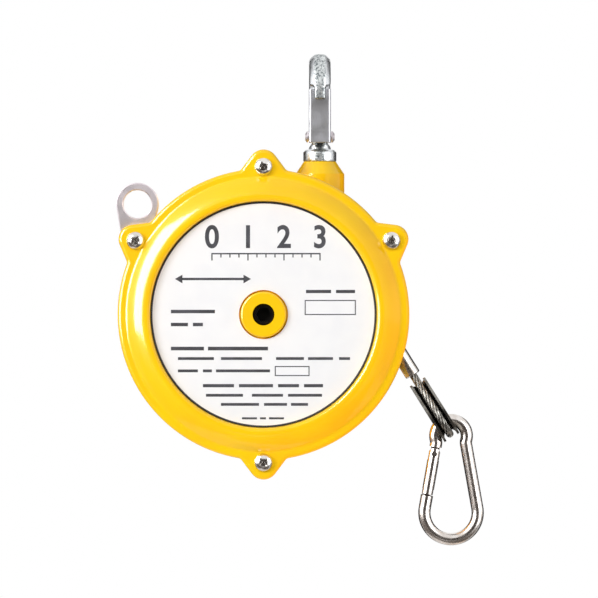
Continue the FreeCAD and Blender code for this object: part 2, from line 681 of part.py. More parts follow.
def make_safety_lug():
    """A flat steel eye for a second rope, held under the left screw between the case halves."""
    body = new_body("safety_lug", **DRUM_AXIS)
    pad(body, "plate", "XZ", [safety_lug_outline("0")], "-split_plane - lug_plate", "lug_plate")
    foot_x, foot_y = on_screw_circle(SAFETY_LUG_ANGLE)
    holes = [
        ("circle", foot_x, foot_y, "screw_radius + hole_clearance"),
        ("circle", f"{foot_x} + lug_ring_shift", f"{foot_y} + lug_ring_rise", "lug_hole_radius"),
    ]
    pocket(body, "holes", "XZ", holes, "-split_plane + 1", "lug_plate + 2")

    def face_edge(edge):
        box = edge.BoundBox
        flat = abs(box.YMax - box.YMin) < 0.01
        ring_edge = isinstance(edge.Curve, Part.Circle) and edge.Curve.Radius > value("screw_radius") + 1
        return flat and ring_edge

    round_edges(body, "broken_edges", "0.4", face_edge, kind="Chamfer")
    return body


def make_rope_guide():
    """A flanged bush with a trumpet mouth towards the drum."""
    body = new_body("rope_guide", **ROPE_LINE)
    bore = "rope_radius + 0.3"
    outline = [
        (bore, "-guide_end"),
        ("guide_radius - 0.03", "-guide_end"),
        ("guide_radius - 0.03", "-guide_start + 0.1"),
        ("guide_radius + guide_flange", "-guide_start + 0.1"),
        ("guide_radius + guide_flange", "-guide_start + 1.2"),
        (f"{bore} + 1.6", "-guide_start + 1.2", "4", "right"),
        (bore, "-guide_start - 2"),
    ]
    turned(body, "guide", "XZ", [outline])
    return body


# The arbor: a stepped shaft along the drum's axis. The spring pulls on it, and its ratchet holds it
def make_arbor():
    body = new_body("arbor", **DRUM_AXIS)
    tip = f"({HUB_FACE} + tip_recess)"
    outline = [
        ("0", tip),
        ("arbor_tip - 0.4", tip),
        ("arbor_tip", f"{tip} + 0.4"),
        ("arbor_tip", f"{RATCHET_FRONT} - 0.02"),
        ("arbor_journal", f"{RATCHET_FRONT} - 0.02"),
        ("arbor_journal", f"{GROOVE_FRONT} + 0.3"),
        ("arbor_core", f"{GROOVE_FRONT} + 0.3"),
        ("arbor_core", f"{DRUM_BACK} - drum_hub_depth - end_play"),
        ("arbor_journal", f"{DRUM_BACK} - drum_hub_depth - end_play"),
        ("arbor_journal", f"{REAR_BOSS} - end_play"),
        ("arbor_pivot", f"{REAR_BOSS} - end_play"),
        ("arbor_pivot", f"{CAVITY_BACK} + 1.9"),
        ("0", f"{CAVITY_BACK} + 1.9"),
    ]
    turned(body, "shaft", "XY", [outline])
    # hexagonal seat of the ratchet wheel
    corners = hexagon("seat_width")
    around = [("circle", "0", "0", "arbor_journal + 1")]
    level, length = f"-{RATCHET_FRONT} + 0.02", "ratchet_width + 0.02"
    pocket(body, "ratchet_seat", "XZ", around + [corners], level, length)
    pocket(body, "key_socket", "XZ", [hexagon("key_width")], f"-{tip}", "key_depth")
    # slot in the core for the spring's inner end
    slot = box_outline("arbor_core - 2.5", "arbor_core + 1", "-spring_strip - 0.15", "0.15")
    pocket(body, "spring_slot", "XZ", [slot], f"-{SPRING_FRONT} + 0.1", "spring_width + 0.2")
    return body


def make_ratchet_wheel():
    """Saw teeth whose steep sides stop the arbor from running back."""
    body = new_body("ratchet_wheel", **DRUM_AXIS)
    teeth = []
    count = int(value("ratchet_teeth"))
    for number in range(count):
        steep = f"({number} * 360 / ratchet_teeth + 180)"
        for radius in ("(ratchet_radius - ratchet_depth)", "ratchet_radius"):
            teeth.append((f"{radius} * cos({steep})", f"{radius} * sin({steep})"))
    pad(body, "wheel", "XZ", [teeth], f"-{RATCHET_BACK}", "ratchet_width")
    bore = [hexagon("seat_width + 0.06")]
    pocket(body, "hexagon_bore", "XZ", bore, f"-{RATCHET_FRONT} + 1", "ratchet_width + 2")
    return body


def make_click_spring():
    """A leaf whose tip stands against a tooth and whose eye is round a pin."""
    body = new_body("click_spring", **DRUM_AXIS)
    leaf = [
        (CLICK_ROOT, "0.2"),
        (f"{CLICK_ROOT} - 1.6", "click_length"),
        (f"{CLICK_ROOT} - 2.3", "click_length"),
        (f"{CLICK_ROOT} - 0.7", "0.6"),
    ]
    pad(body, "leaf", "XZ", [leaf], f"-{RATCHET_BACK}", "ratchet_width")
    eye = [("circle", *CLICK_PIN, f"click_pin_radius + {margin}") for margin in ("0.85", "0.05")]
    pad(body, "eye", "XZ", eye, f"-{RATCHET_BACK}", "ratchet_width")
    return body


def make_click_pin():
    """A headless pin pressed into the cover."""
    body = new_body("click_pin", **DRUM_AXIS)
    circle = [("circle", *CLICK_PIN, "click_pin_radius")]
    length = f"{RATCHET_BACK} + 0.4 - {COVER_INSIDE} + 2"
    pad(body, "pin", "XZ", circle, f"-{RATCHET_BACK} - 0.4", length)
    return body


# The drum: a cup whose outside steps up in radius, so that the rope's pull stays even
def make_drum():
    body = new_body("drum", **DRUM_AXIS)
    rise = "((drum_big_radius - lead_radius) / (groove_count - 1))"
    outline = [
        ("chamber_radius", f"{DRUM_FRONT} + plate_thickness"),
        ("plate_radius + 0.1", f"{DRUM_FRONT} + plate_thickness"),
        ("plate_radius + 0.1", DRUM_FRONT),
        ("lead_radius + flange_height", DRUM_FRONT),
        ("lead_radius + flange_height", GROOVE_FRONT),
    ]
    # each groove is a half-round; the land between two grooves stands at the rope's middle
    for number in range(int(value("groove_count"))):
        radius = f"(lead_radius + {number} * {rise})"
        start = f"{GROOVE_FRONT} + {number} * groove_pitch + groove_pitch / 2"
        groove = "(rope_radius + strand_play)"
        outline.append((radius, f"{start} - {groove}", groove, "right"))
        outline.append((f"{radius} - {groove}", start, groove, "right"))
        outline.append((radius, f"{start} + {groove}"))
    outline += [
        ("drum_big_radius + flange_height", GROOVE_BACK),
        ("drum_big_radius + flange_height", DRUM_BACK),
        ("arbor_journal + running_fit + drum_bush_wall", DRUM_BACK),
        ("arbor_journal + running_fit + drum_bush_wall", f"{DRUM_BACK} - drum_hub_depth"),
        ("arbor_journal + running_fit + drum_bush_wall + 3", f"{DRUM_BACK} - drum_hub_depth"),
        ("arbor_journal + running_fit + drum_bush_wall + 3", f"{DRUM_BACK} - drum_floor"),
        ("chamber_radius", f"{DRUM_BACK} - drum_floor"),
    ]
    turned(body, "drum", "XY", [outline])
    screws = [("circle", *plate_screw(number), "plate_screw_radius + 0.02") for number in range(3)]
    pocket(body, "plate_screw_holes", "XZ", screws, f"-{DRUM_FRONT} - plate_thickness", "5.5")
    slot = box_outline("chamber_radius - 1", "chamber_radius + 2", "-spring_strip - 0.15", "0.15")
    pocket(body, "spring_slot", "XZ", [slot], f"-{SPRING_FRONT} + 0.1", "spring_width + 0.2")
    # a bore from the back for the barrel at the rope's inner end
    bore = [("circle", *rope_anchor_place(), "anchor_radius + 0.05")]
    depth = f"{DRUM_BACK} - {LAST_GROOVE} + rope_radius + 1"
    pocket(body, "anchor_bore", "XZ", bore, f"-{LAST_GROOVE} + rope_radius", depth)
    return body


def rope_anchor_place():
    """Where the rope ends on the last groove, in line with its turn."""
    angle = "(rope_lean + turn_angle + 1.05 * anchor_radius / drum_big_radius * 180 / pi)"
    return f"drum_big_radius * cos({angle})", f"drum_big_radius * sin({angle})"


def make_rope_anchor():
    """The barrel pressed on the rope's inner end."""
    body = new_body("rope_anchor", **DRUM_AXIS)
    barrel = [("circle", *rope_anchor_place(), "anchor_radius")]
    level = f"-{LAST_GROOVE} + rope_radius - 0.1 - anchor_length"
    pad(body, "barrel", "XZ", barrel, level, "anchor_length")
    return body


def plate_screw(number):
    circle = "(plate_radius - plate_screw_radius - 0.9)"
    return f"{circle} * cos({90 + 120 * number})", f"{circle} * sin({90 + 120 * number})"


def make_drum_plate():
    back = f"{DRUM_FRONT} + plate_thickness"
    body = ring("drum_plate", "arbor_journal + running_fit", "plate_radius", DRUM_FRONT, back, **DRUM_AXIS)
    screws = [("circle", *plate_screw(number), "plate_screw_radius + 0.1") for number in range(3)]
    pocket(body, "screw_holes", "XZ", screws, f"-{DRUM_FRONT} + 1", "plate_thickness + 2")
    return body


def make_plate_screws():
    body = new_body("plate_screws", **DRUM_AXIS)
    shanks = [("circle", *plate_screw(number), "plate_screw_radius") for number in range(3)]
    heads = [("circle", *plate_screw(number), "plate_screw_radius * 1.8") for number in range(3)]
    body.AllowCompound = True
    pad(body, "shanks", "XZ", shanks, f"-{DRUM_FRONT} - plate_thickness - 5", "plate_thickness + 5")
    pad(body, "heads", "XZ", heads, f"-{DRUM_FRONT}", "0.45")
    return body


def make_drum_rope():
    """The rope's turns on the drum, one in each groove. The first starts where the straight rope
    leaves it, and the last ends at the barrel, so both stop short of a full turn."""
    body = new_body("drum_rope", x="-neck_offset", z="-seat_height", angle="-rope_lean")
    body.AllowCompound = True
    rise = "((drum_big_radius - lead_radius) / (groove_count - 1))"
    last = int(value("groove_count")) - 1
    for number in range(last + 1):
        centre = f"lead_radius + {number} * {rise}", f"{LEAD} + {number} * groove_pitch"
        circle = ("circle", *centre, "rope_radius")
        angle = "turn_angle" if number in (0, last) else "360"
        turned(body, f"turn_{number}", "XY", [circle], angle=angle)
    return body


def make_main_spring():
    """A strip wound in half turns about two centres, so that every turn stands clear of the next.
    Its ends bend into the slots of the arbor's core and of the drum's wall."""
    strip, pitch, width = value("spring_strip"), value("spring_pitch"), value("spring_width")
    core, chamber = value("arbor_core"), value("chamber_radius")
    shift = pitch / 2
    first = core + strip / 2 + 0.15
    halves = 2 * int((chamber - strip / 2 - 0.3 - first) / pitch)

    def half_turn(number, offset):
        radius = first + number * shift + offset
        centre = 0 if number % 2 == 0 else shift
        side = 1 if number % 2 == 0 else -1
        reach = side * radius
        return Part.Arc(V(centre + reach, 0, 0), V(centre, 0, reach), V(centre - reach, 0, 0)).toShape()

    inside = [half_turn(number, -strip / 2) for number in range(halves)]
    outside = [half_turn(number, strip / 2) for number in range(halves)]
    a, b = inside[0].Vertexes[0].Point, outside[0].Vertexes[0].Point
    c, d = inside[-1].Vertexes[-1].Point, outside[-1].Vertexes[-1].Point
    edges = inside + outside + [Part.LineSegment(a, b).toShape(), Part.LineSegment(c, d).toShape()]
    face = Part.Face(Part.Wire(Part.__sortEdges__(edges)))
    coil = face.extrude(V(0, width, 0))
    inner_tail = Part.makeBox(a.x - core + 2.3, width, strip, V(core - 2, 0, -strip))
    outer_tail = Part.makeBox(chamber + 1.6 - c.x, width, strip, V(c.x, 0, -strip))
    coil = coil.fuse([inner_tail, outer_tail]).removeSplitter()
    thing = doc.addObject("Part::Feature", "main_spring")
    thing.Label = "main_spring"
    thing.Shape = coil
    place(thing, x="-neck_offset", y=SPRING_FRONT, z="-seat_height")
    return thing


# Suspension hook: a forged hook with a collar and a shank that turns in the case's neck
BOW_Z = "-bow_radius"
LATCH_FRONT = "(-rivet_front - 3.55)"
COLLAR_TOP = "(neck_top - seat_height + end_play + collar_height)"
SPRING_HALF = "(3 * latch_wire)"


def make_top_hook():
    body = new_body("top_hook")
    # the bow: one section swept up from the shank, round the back and over to the nose
    middle, turn, foot = "bow_middle", "bend_turn", f"({BOW_Z} - bend_rise)"
    path = [
        ("0", f"{COLLAR_TOP} - 1"),
        ("0", foot, "foot_bend", "right"),
        (f"foot_bend * (1 - cos({turn}))", f"{foot} + foot_bend * sin({turn})", "back_bend", "left"),
        (middle, BOW_Z, middle, "left"),
        ("0", f"{BOW_Z} + {middle}", middle, "left"),
        (f"-{middle}", BOW_Z),
        (f"-{middle}", "-nose_drop"),
    ]
    spine = add_sketch(body, "bow_path", "YZ", [path], closed=False)
    side, front, cut = "(hook_width / 2)", "(bow_thickness / 2)", "hook_chamfer"
    section = []
    for x, y in ((1, 1), (-1, 1), (-1, -1), (1, -1)):
        tall = (f"{x} * {side}", f"{y} * ({front} - {cut})")
        wide = (f"{x} * ({side} - {cut})", f"{y} * {front}")
        section += [tall, wide] if x * y > 0 else [wide, tall]
    bow = body.newObject("PartDesign::AdditivePipe", "bow")
    bow.Profile = add_sketch(body, "bow_section", "XY", [section], f"{COLLAR_TOP} - 1")
    bow.Spine = (spine, [f"Edge{number}" for number in range(1, len(path))])
    changed(body, bow, True)
    # the lug of the latch rivet in front of the shank
    lug = [
        ("-rivet_front", "-rivet_height - rivet_lug_radius", "rivet_lug_radius", "right"),
        ("-rivet_front - rivet_lug_radius", "-rivet_height", "rivet_lug_radius", "right"),
        ("-rivet_front", "-rivet_height + rivet_lug_radius"),
        ("1", "-rivet_height + 5"),
        ("1", "-rivet_height - rivet_lug_radius"),
    ]
    pad(body, "rivet_lug", "YZ", [lug], "-eye_width / 2", "eye_width")
    # room for the latch: beside the lug, and behind the nose, whose tongue covers its top
    half = "(hook_width / 2)"
    for name, level, width in (
        ("right", f"{half} + 1", f"{half} + 1 - eye_width / 2"),
        ("left", "-eye_width / 2", f"{half} + 1 - eye_width / 2"),
    ):
        cheek = box_outline("-20", "2.6", f"{COLLAR_TOP} + 1.6", "-rivet_height + 9")
        pocket(body, f"{name}_cheek", "YZ", [cheek], level, width)
    for name, level, width in (
        ("right", f"{half} + 1", f"{half} + 1 - tongue_width / 2"),
        ("left", "-tongue_width / 2", f"{half} + 1 - tongue_width / 2"),
    ):
        beside = box_outline("-20", "-3", "-20", "-nose_drop + 4.9")
        pocket(body, f"{name}_of_tongue", "YZ", [beside], level, width)
    inside = box_outline(f"{LATCH_FRONT} - 0.3", "-3", "-20", "-nose_drop + 4.9")
    pocket(body, "behind_tongue", "YZ", [inside], f"{half} + 1", "hook_width + 2")
    hole = [("circle", "-rivet_front", "-rivet_height", "rivet_radius + 0.04")]
    pocket(body, "rivet_hole", "YZ", hole, f"{half} + 1", "hook_width + 2")
    room = box_outline("-20", "-rivet_front + 2.6", "-rivet_height - 3", "-rivet_height + 5")
    pocket(body, "spring_room", "YZ", [room], f"{SPRING_HALF} + 0.1", f"2 * {SPRING_HALF} + 0.2")
    ring_top = "(neck_seat - seat_height - 1.45)"
    shank = [
        ("0", f"{COLLAR_TOP} + 1.2"),
        ("shank_radius", f"{COLLAR_TOP} + 1.2"),
        ("shank_radius", COLLAR_TOP),
        ("collar_radius - 1", COLLAR_TOP),
        ("collar_radius", f"{COLLAR_TOP} - 1"),
        ("collar_radius", f"{COLLAR_TOP} - collar_height"),
        ("shank_radius", f"{COLLAR_TOP} - collar_height"),
        ("shank_radius", ring_top),
        ("shank_radius - 0.7", ring_top),
        ("shank_radius - 0.7", f"{ring_top} - 1.1"),
        ("shank_radius", f"{ring_top} - 1.1"),
        ("shank_radius", f"{ring_top} - 2"),
        ("shank_radius - 0.6", f"{ring_top} - 2.6"),
        ("0", f"{ring_top} - 2.6"),
    ]
    turned(body, "shank", "XZ", [shank])
    return body


def make_latch():
    """A bent sheet: the web closes the hook's mouth, the cheeks hold the rivet."""
    body = new_body("latch")
    front, top, foot = LATCH_FRONT, "-nose_drop + 4.1", "(-rivet_height - 2.2)"
    side = [
        (front, foot),
        (f"{front} + latch_depth", foot),
        (f"{front} + latch_depth + 1.4", "-rivet_height"),
        (f"{front} + latch_depth", "-rivet_height + 4"),
        (f"{front} + 3", top),
        (front, top),
    ]
    pad(body, "channel", "YZ", [side], "-latch_width / 2", "latch_width")
    inner = box_outline(f"{front} + latch_sheet", f"{front} + 12", "-rivet_height - 4", "0")
    pocket(body, "inside", "YZ", [inner], "latch_width / 2 - latch_sheet", "latch_width - 2 * latch_sheet")
    hole = [("circle", "-rivet_front", "-rivet_height", "rivet_radius + 0.05")]
    pocket(body, "rivet_hole", "YZ", hole, "latch_width / 2 + 1", "latch_width + 2")

    def bend(edge):
        box = edge.BoundBox
        at_front = abs(box.YMin - value(front)) < 0.01 and abs(box.YMax - value(front)) < 0.01
        return at_front and box.ZLength > 5

    round_edges(body, "bends", "0.9", bend)
    return body


def make_latch_rivet():
    """A rivet about X with a head outside each cheek."""
    body = new_body("latch_rivet", y="-rivet_front", z="-rivet_height", axis=V(0, 0, 1), angle="-90")
    half = "(latch_width / 2 + 0.1)"
    outline = [
        ("0", f"-{half} - 1.3"),
        ("1.2", f"-{half} - 1.3"),
        ("2.25", f"-{half} - 0.5"),
        ("2.25", f"-{half}"),
        ("rivet_radius", f"-{half}"),
        ("rivet_radius", half),
        ("2.25", half),
        ("2.25", f"{half} + 0.5"),
        ("1.2", f"{half} + 1.3"),
        ("0", f"{half} + 1.3"),
    ]
    turned(body, "rivet", "XY", [outline])
    return body


def make_latch_spring():
    """Three turns of wire on the rivet; one leg presses on the latch, the other on the hook."""
    body = new_body("latch_spring", y="-rivet_front", z="-rivet_height", axis=V(0, 0, 1), angle="-90")
    inner, middle = "(rivet_radius + 0.1)", "(rivet_radius + 0.1 + latch_wire)"
    turns = [(inner, f"-{SPRING_HALF}")]
    for number in (-2, 0, 2):
        turns.append((middle, f"({number} - 1) * latch_wire", "latch_wire", "left"))
        turns.append((f"{middle} + latch_wire", f"{number} * latch_wire", "latch_wire", "left"))
    turns += [(middle, SPRING_HALF), (inner, SPRING_HALF)]
    turned(body, "turns", "XY", [turns])
    # in this frame the latch lies towards +X
    pressing = [("circle", f"{middle} - 0.03", f"{SPRING_HALF} - latch_wire", "latch_wire")]
    pad(body, "latch_leg", "XY", pressing, "-0.1", "10")
    resting = [("circle", f"0.03 - {middle}", f"latch_wire - {SPRING_HALF}", "latch_wire")]
    pad(body, "hook_leg", "XY", resting, "-0.1", "4.8")
    return body


# Rope end: the straight rope, the crimped ferrule and the rope eye round its thimble. Along these
# pieces local Z points back up the rope, and a place is minus its distance along the rope line
def make_rope_lead():
    body = new_body("rope_lead", **ROPE_LINE)
    outline = [("circle", "0", "0", "rope_radius")]
    pad(body, "rope", "XY", outline, "-ferrule_start + 0.02", "ferrule_start - 0.02")
    return body


THIMBLE_BOTTOM = "(eye_distance - eye_radius + eye_wire + eye_play)"
LOOP_RADIUS = "(thimble_bow + thimble_wall + strand_play + rope_radius)"
LOOP_CENTRE = f"({THIMBLE_BOTTOM} - thimble_bow)"


def loop_path():
    """The rope's centre line through the ferrule and round the thimble, from arcs and tangents."""
    radius, centre = value(LOOP_RADIUS), -value(LOOP_CENTRE)
    side = value("rope_radius + strand_play / 2")
    start = -value("ferrule_start")
    bend_at = -value("ferrule_start + ferrule_length - 0.6")
    bend = 6.0
    # the leg is tangent to the bow's circle and to the small bend inside the ferrule's mouth
    a = V(0, side + bend, bend_at)
    b = V(0, 0, centre)
    gap = math.hypot(b.y - a.y, b.z - a.z)
    slope = math.atan2(a.y - b.y, a.z - b.z)
    cross = math.asin((radius + bend) / gap)
    lean = cross - slope
    normal = V(0, math.cos(lean), math.sin(lean))
    bow_touch = b + normal * radius
    bend_touch = a - normal * bend
    return side, start, bend_at, bend, a, bow_touch, bend_touch, b, radius, lean


def mirrored(point):
    return V(point.x, -point.y, point.z)


def make_rope_eye():
    side, start, bend_at, bend, a, bow_touch, bend_touch, b, radius, lean = loop_path()
    middle = a + V(0, -math.cos(lean / 2), -math.sin(lean / 2)) * bend
    top, low = V(0, side, start), V(0, side, bend_at)
    right = [
        Part.LineSegment(top, low).toShape(),
        Part.Arc(low, middle, bend_touch).toShape(),
        Part.LineSegment(bend_touch, bow_touch).toShape(),
    ]
    bottom = b + V(0, 0, -radius)
    bow = Part.Arc(bow_touch, bottom, mirrored(bow_touch)).toShape()
    left = [
        Part.LineSegment(mirrored(bow_touch), mirrored(bend_touch)).toShape(),
        Part.Arc(mirrored(bend_touch), mirrored(middle), mirrored(low)).toShape(),
        Part.LineSegment(mirrored(low), mirrored(top)).toShape(),
    ]
    path = Part.Wire(right + [bow] + left)
    section = Part.Wire(Part.Circle(top, V(0, 0, 1), value("rope_radius")).toShape())
    thing = doc.addObject("Part::Feature", "rope_eye")
    thing.Label = "rope_eye"
    thing.Shape = path.makePipeShell([section], True, False)
    place(thing, **EYE_LINE)
    return thing


def make_thimble():
    """A gutter bent round the snap hook's wire; its section is half round, open to the outside."""
    side, start, bend_at, bend, a, bow_touch, bend_touch, b, radius, lean = loop_path()
    along = (bow_touch - bend_touch).normalize()
    outer = value("eye_radius - eye_wire - eye_play")
    inner = outer - value("thimble_wall")
    # the legs stop where their inner faces would meet
    reach = value("rope_radius + thimble_wall + strand_play") + 0.15
    leg_start = bend_touch + along * ((reach / math.cos(lean) - bend_touch.y) / along.y)
    path = Part.Wire([
        Part.LineSegment(leg_start, bow_touch).toShape(),
        Part.Arc(bow_touch, b + V(0, 0, -radius), mirrored(bow_touch)).toShape(),
        Part.LineSegment(mirrored(bow_touch), mirrored(leg_start)).toShape(),
    ])
    outward = V(0, math.cos(lean), math.sin(lean))
    floor = leg_start - outward * value("rope_radius + strand_play + thimble_wall")
    centre = floor + outward * outer
    lip = outward * 0.8
    across = V(1, 0, 0)

    def point(sideways, out):
        return centre + across * sideways + outward * out

    section = Part.Wire([
        Part.Arc(point(-outer, 0), point(0, -outer), point(outer, 0)).toShape(),
        Part.LineSegment(point(outer, 0), point(outer, 0) + lip).toShape(),
        Part.LineSegment(point(outer, 0) + lip, point(inner, 0) + lip).toShape(),
        Part.LineSegment(point(inner, 0) + lip, point(inner, 0)).toShape(),
        Part.Arc(point(inner, 0), point(0, -inner), point(-inner, 0)).toShape(),
        Part.LineSegment(point(-inner, 0), point(-inner, 0) + lip).toShape(),
        Part.LineSegment(point(-inner, 0) + lip, point(-outer, 0) + lip).toShape(),
        Part.LineSegment(point(-outer, 0) + lip, point(-outer, 0)).toShape(),
    ])
    thing = doc.addObject("Part::Feature", "thimble")
    thing.Label = "thimble"
    thing.Shape = path.makePipeShell([section], True, False)
    place(thing, **EYE_LINE)
    return thing


def make_ferrule():
    """An oval sleeve pressed round both ends of the rope eye."""
    body = new_body("ferrule", **EYE_LINE)
    inside = "(rope_radius + strand_play)"
    shift = "(rope_radius + strand_play / 2)"

    def oval(radius):
        return [
            (radius, f"-{shift}"),
            (radius, shift, radius, "left"),
            ("0", f"{shift} + {radius}", radius, "left"),
            (f"-{radius}", shift),
            (f"-{radius}", f"-{shift}", radius, "left"),
            ("0", f"-{shift} - {radius}", radius, "left"),
        ]

    pad(body, "sleeve", "XY", [oval(f"({inside} + ferrule_wall)"), oval(inside)],
        "-ferrule_start - ferrule_length", "ferrule_length")

    def mouth(edge):
        box = edge.BoundBox
        flat = box.ZLength < 0.01
        return flat and max(abs(box.XMin), abs(box.XMax)) > value(inside) + 0.2

    round_edges(body, "mouths", "0.5", mouth)
    return body


# Snap hook: one bent wire and a gate, in a frame whose origin is the middle of its eye
def snap_path():
    """The wire's centre line from the nose round the large bend to the gate's pivot."""
    eye, bend, kink = value("eye_radius"), value("bend_radius"), value("kink_radius")
    drop, lean = value("bend_drop"), math.radians(value("leg_lean"))
    out = V(math.cos(lean), 0, math.sin(lean))
    up = V(-math.sin(lean), 0, math.cos(lean))
    leg_low = V(0, 0, -drop) + out * bend
    offset = leg_low.dot(out)
    centre = out * (offset + kink) - up * math.sqrt((eye + kink) ** 2 - (offset + kink) ** 2)
    leg_top = centre - out * kink
    eye_touch = centre * (eye / (eye + kink))
    return eye, bend, kink, drop, out, up, leg_low, leg_top, eye_touch, centre


def flipped(vector):
    return V(-vector.x, vector.y, vector.z)


def on_left_leg(depth):
    """The point of the left leg's line at this depth below the eye."""
    eye, bend, kink, drop, out, up, leg_low, leg_top, eye_touch, centre = snap_path()
    return flipped(leg_low + up * ((-depth - leg_low.z) / up.z))


def make_carabiner_body():
    eye, bend, kink, drop, out, up, leg_low, leg_top, eye_touch, centre = snap_path()
    radius = value("eye_wire")
    nose = on_left_leg(value("gate_end + gate_gap"))
    end = on_left_leg(value("pivot_drop") - value("gate_radius") - value("gate_gap") - 0.15)
    kink_middle = centre - (centre / centre.Length + out).normalize() * kink
    path = Part.Wire([
        Part.LineSegment(nose, flipped(leg_low)).toShape(),
        Part.Arc(flipped(leg_low), V(0, 0, -drop - bend), leg_low).toShape(),
        Part.LineSegment(leg_low, leg_top).toShape(),
        Part.Arc(leg_top, kink_middle, eye_touch).toShape(),
        Part.Arc(eye_touch, V(0, 0, eye), flipped(eye_touch)).toShape(),
        Part.Arc(flipped(eye_touch), flipped(kink_middle), flipped(leg_top)).toShape(),
        Part.LineSegment(flipped(leg_top), end).toShape(),
    ])
    down = (flipped(leg_low) - nose).normalize()
    section = Part.Wire(Part.Circle(nose, down, radius).toShape())
    wire = path.makePipeShell([section], True, False)
    # a flat tab that the gate's fork turns on, and one that enters the gate's lower slot
    thick = value("slot_width - 2 * slot_play")
    pivot = on_left_leg(value("pivot_drop"))
    tab = slab(end - down * 1.5, pivot, 1.6, thick).fuse(
        Part.makeCylinder(1.6, thick, pivot - V(0, thick / 2, 0), V(0, 1, 0)))
    across, pin = V(0, 1, 0), value("pin_radius + strand_play")
    hole = Part.makeCylinder(pin, thick + 2, pivot - across * (thick / 2 + 1), across)
    tongue = slab(nose + down * 1.5, on_left_leg(value("gate_end") - 1.6), 1.0, thick)
    thing = doc.addObject("Part::Feature", "carabiner_body")
    thing.Label = "carabiner_body"
    thing.Shape = wire.fuse([tab, tongue]).cut(hole).removeSplitter()
    place(thing, **SNAP_EYE)
    return thing


def slab(a, b, half_width, thickness):
    """A flat bar from a to b, half_width to each side in the XZ plane."""
    along = (b - a).normalize()
    side = V(along.z, 0, -along.x) * half_width
    lift = V(0, -thickness / 2, 0)
    corners = [a + side + lift, b + side + lift, b - side + lift, a - side + lift]
    return Part.Face(Part.makePolygon(corners + [corners[0]])).extrude(V(0, thickness, 0))


def make_gate():
    radius, slot = value("gate_radius"), value("slot_width")
    pivot, low = on_left_leg(value("pivot_drop")), on_left_leg(value("gate_end"))
    down = (low - pivot).normalize()
    length = (low - pivot).Length
    bar = Part.makeCylinder(radius, length, pivot, down)
    head = Part.makeCylinder(radius, 2 * radius, pivot - V(0, radius, 0), V(0, 1, 0))
    head = head.common(Part.makeCylinder(radius, 4 * radius, pivot - down * 2 * radius, down))
    gate = bar.fuse(head).removeSplitter()
    reach = 2 * radius
    upper = slab(pivot - down * reach, pivot + down * 2.4, reach, slot)
    lower = slab(low - down * 2.1, low + down, reach, slot)
    pin_hole = value("pin_radius + strand_play")
    hole = Part.makeCylinder(pin_hole, 2 * reach, pivot - V(0, reach, 0), V(0, 1, 0))
    rod = value("plunger_radius")
    well = Part.makeCylinder(rod + value("strand_play"), value("well_depth"), pivot + down * 2.2, down)
    thing = doc.addObject("Part::Feature", "gate")
    thing.Label = "gate"
    thing.Shape = gate.cut([upper, lower, hole, well])
    place(thing, **SNAP_EYE)
    # what the well holds: a plunger that presses on the tab, and its spring
    plunger = doc.addObject("Part::Feature", "gate_plunger")
    plunger.Label = "gate_plunger"
    plunger.Shape = Part.makeCylinder(rod, 2.5, pivot + down * 2.3, down)
    place(plunger, **SNAP_EYE)
    spring = doc.addObject("Part::Feature", "gate_spring")
    spring.Label = "gate_spring"
    deep = value("well_depth")
    coil = Part.makeCylinder(rod, deep - 2.7, pivot + down * 4.82, down)
    spring.Shape = coil.cut(Part.makeCylinder(rod - 0.35, 2 * deep, pivot + down * 4, down))
    place(spring, **SNAP_EYE)
    return thing, plunger, spring


def make_gate_rivet():
    pivot = on_left_leg(value("pivot_drop"))
    half = value("gate_radius") + 0.15
    thing = doc.addObject("Part::Feature", "gate_rivet")
    thing.Label = "gate_rivet"
    thing.Shape = Part.makeCylinder(value("pin_radius"), 2 * half, pivot - V(0, half, 0), V(0, 1, 0))
    place(thing, **SNAP_EYE)
    return thing


NODES = []


def node(thing):
    NODES.append(thing)
    return thing


def make_bushes_and_washers():
    """The plain rings: bushes for the three shafts, and what keeps them in place along their axes."""
    shank_play = "(shank_radius + running_fit)"
    below = "(neck_seat - seat_height)"
    bush_end = f"{shank_play} + bush_wall - 0.02"
    node(ring("neck_bush", shank_play, bush_end, below, "neck_top - seat_height", plane="XZ"))
    washer = (shank_play, "shank_radius + 2.6", f"{below} - 0.1", f"{below} - 1.3")
    node(ring("hook_washer", *washer, plane="XZ"))
    snap_ring = ("shank_radius - 0.65", "shank_radius + 1.6", f"{below} - 1.5", f"{below} - 2.45")
    node(ring("hook_ring", *snap_ring, plane="XZ"))
    pivot_play, journal_play = "(arbor_pivot + running_fit)", "(arbor_journal + running_fit)"
    rear_end, drum_end = f"{pivot_play} + bush_wall - 0.02", f"{journal_play} + drum_bush_wall - 0.02"
    node(ring("rear_bush", pivot_play, rear_end, REAR_BOSS, f"{CAVITY_BACK} + 1.9", **DRUM_AXIS))
    node(ring("drum_bush", journal_play, drum_end, f"{DRUM_BACK} - drum_hub_depth", DRUM_BACK, **DRUM_AXIS))
    washers = []
    for side, outer, start, end in (
        ("front", "arbor_journal + 4", f"{RATCHET_BACK} + end_play", f"{DRUM_FRONT} - end_play"),
        ("rear", "arbor_journal + 3", f"{DRUM_BACK} + end_play", f"{REAR_BOSS} - end_play"),
    ):
        washers.append(ring(f"{side}_washer", journal_play, outer, start, end, **DRUM_AXIS))
    node(compound("thrust_washers", washers))


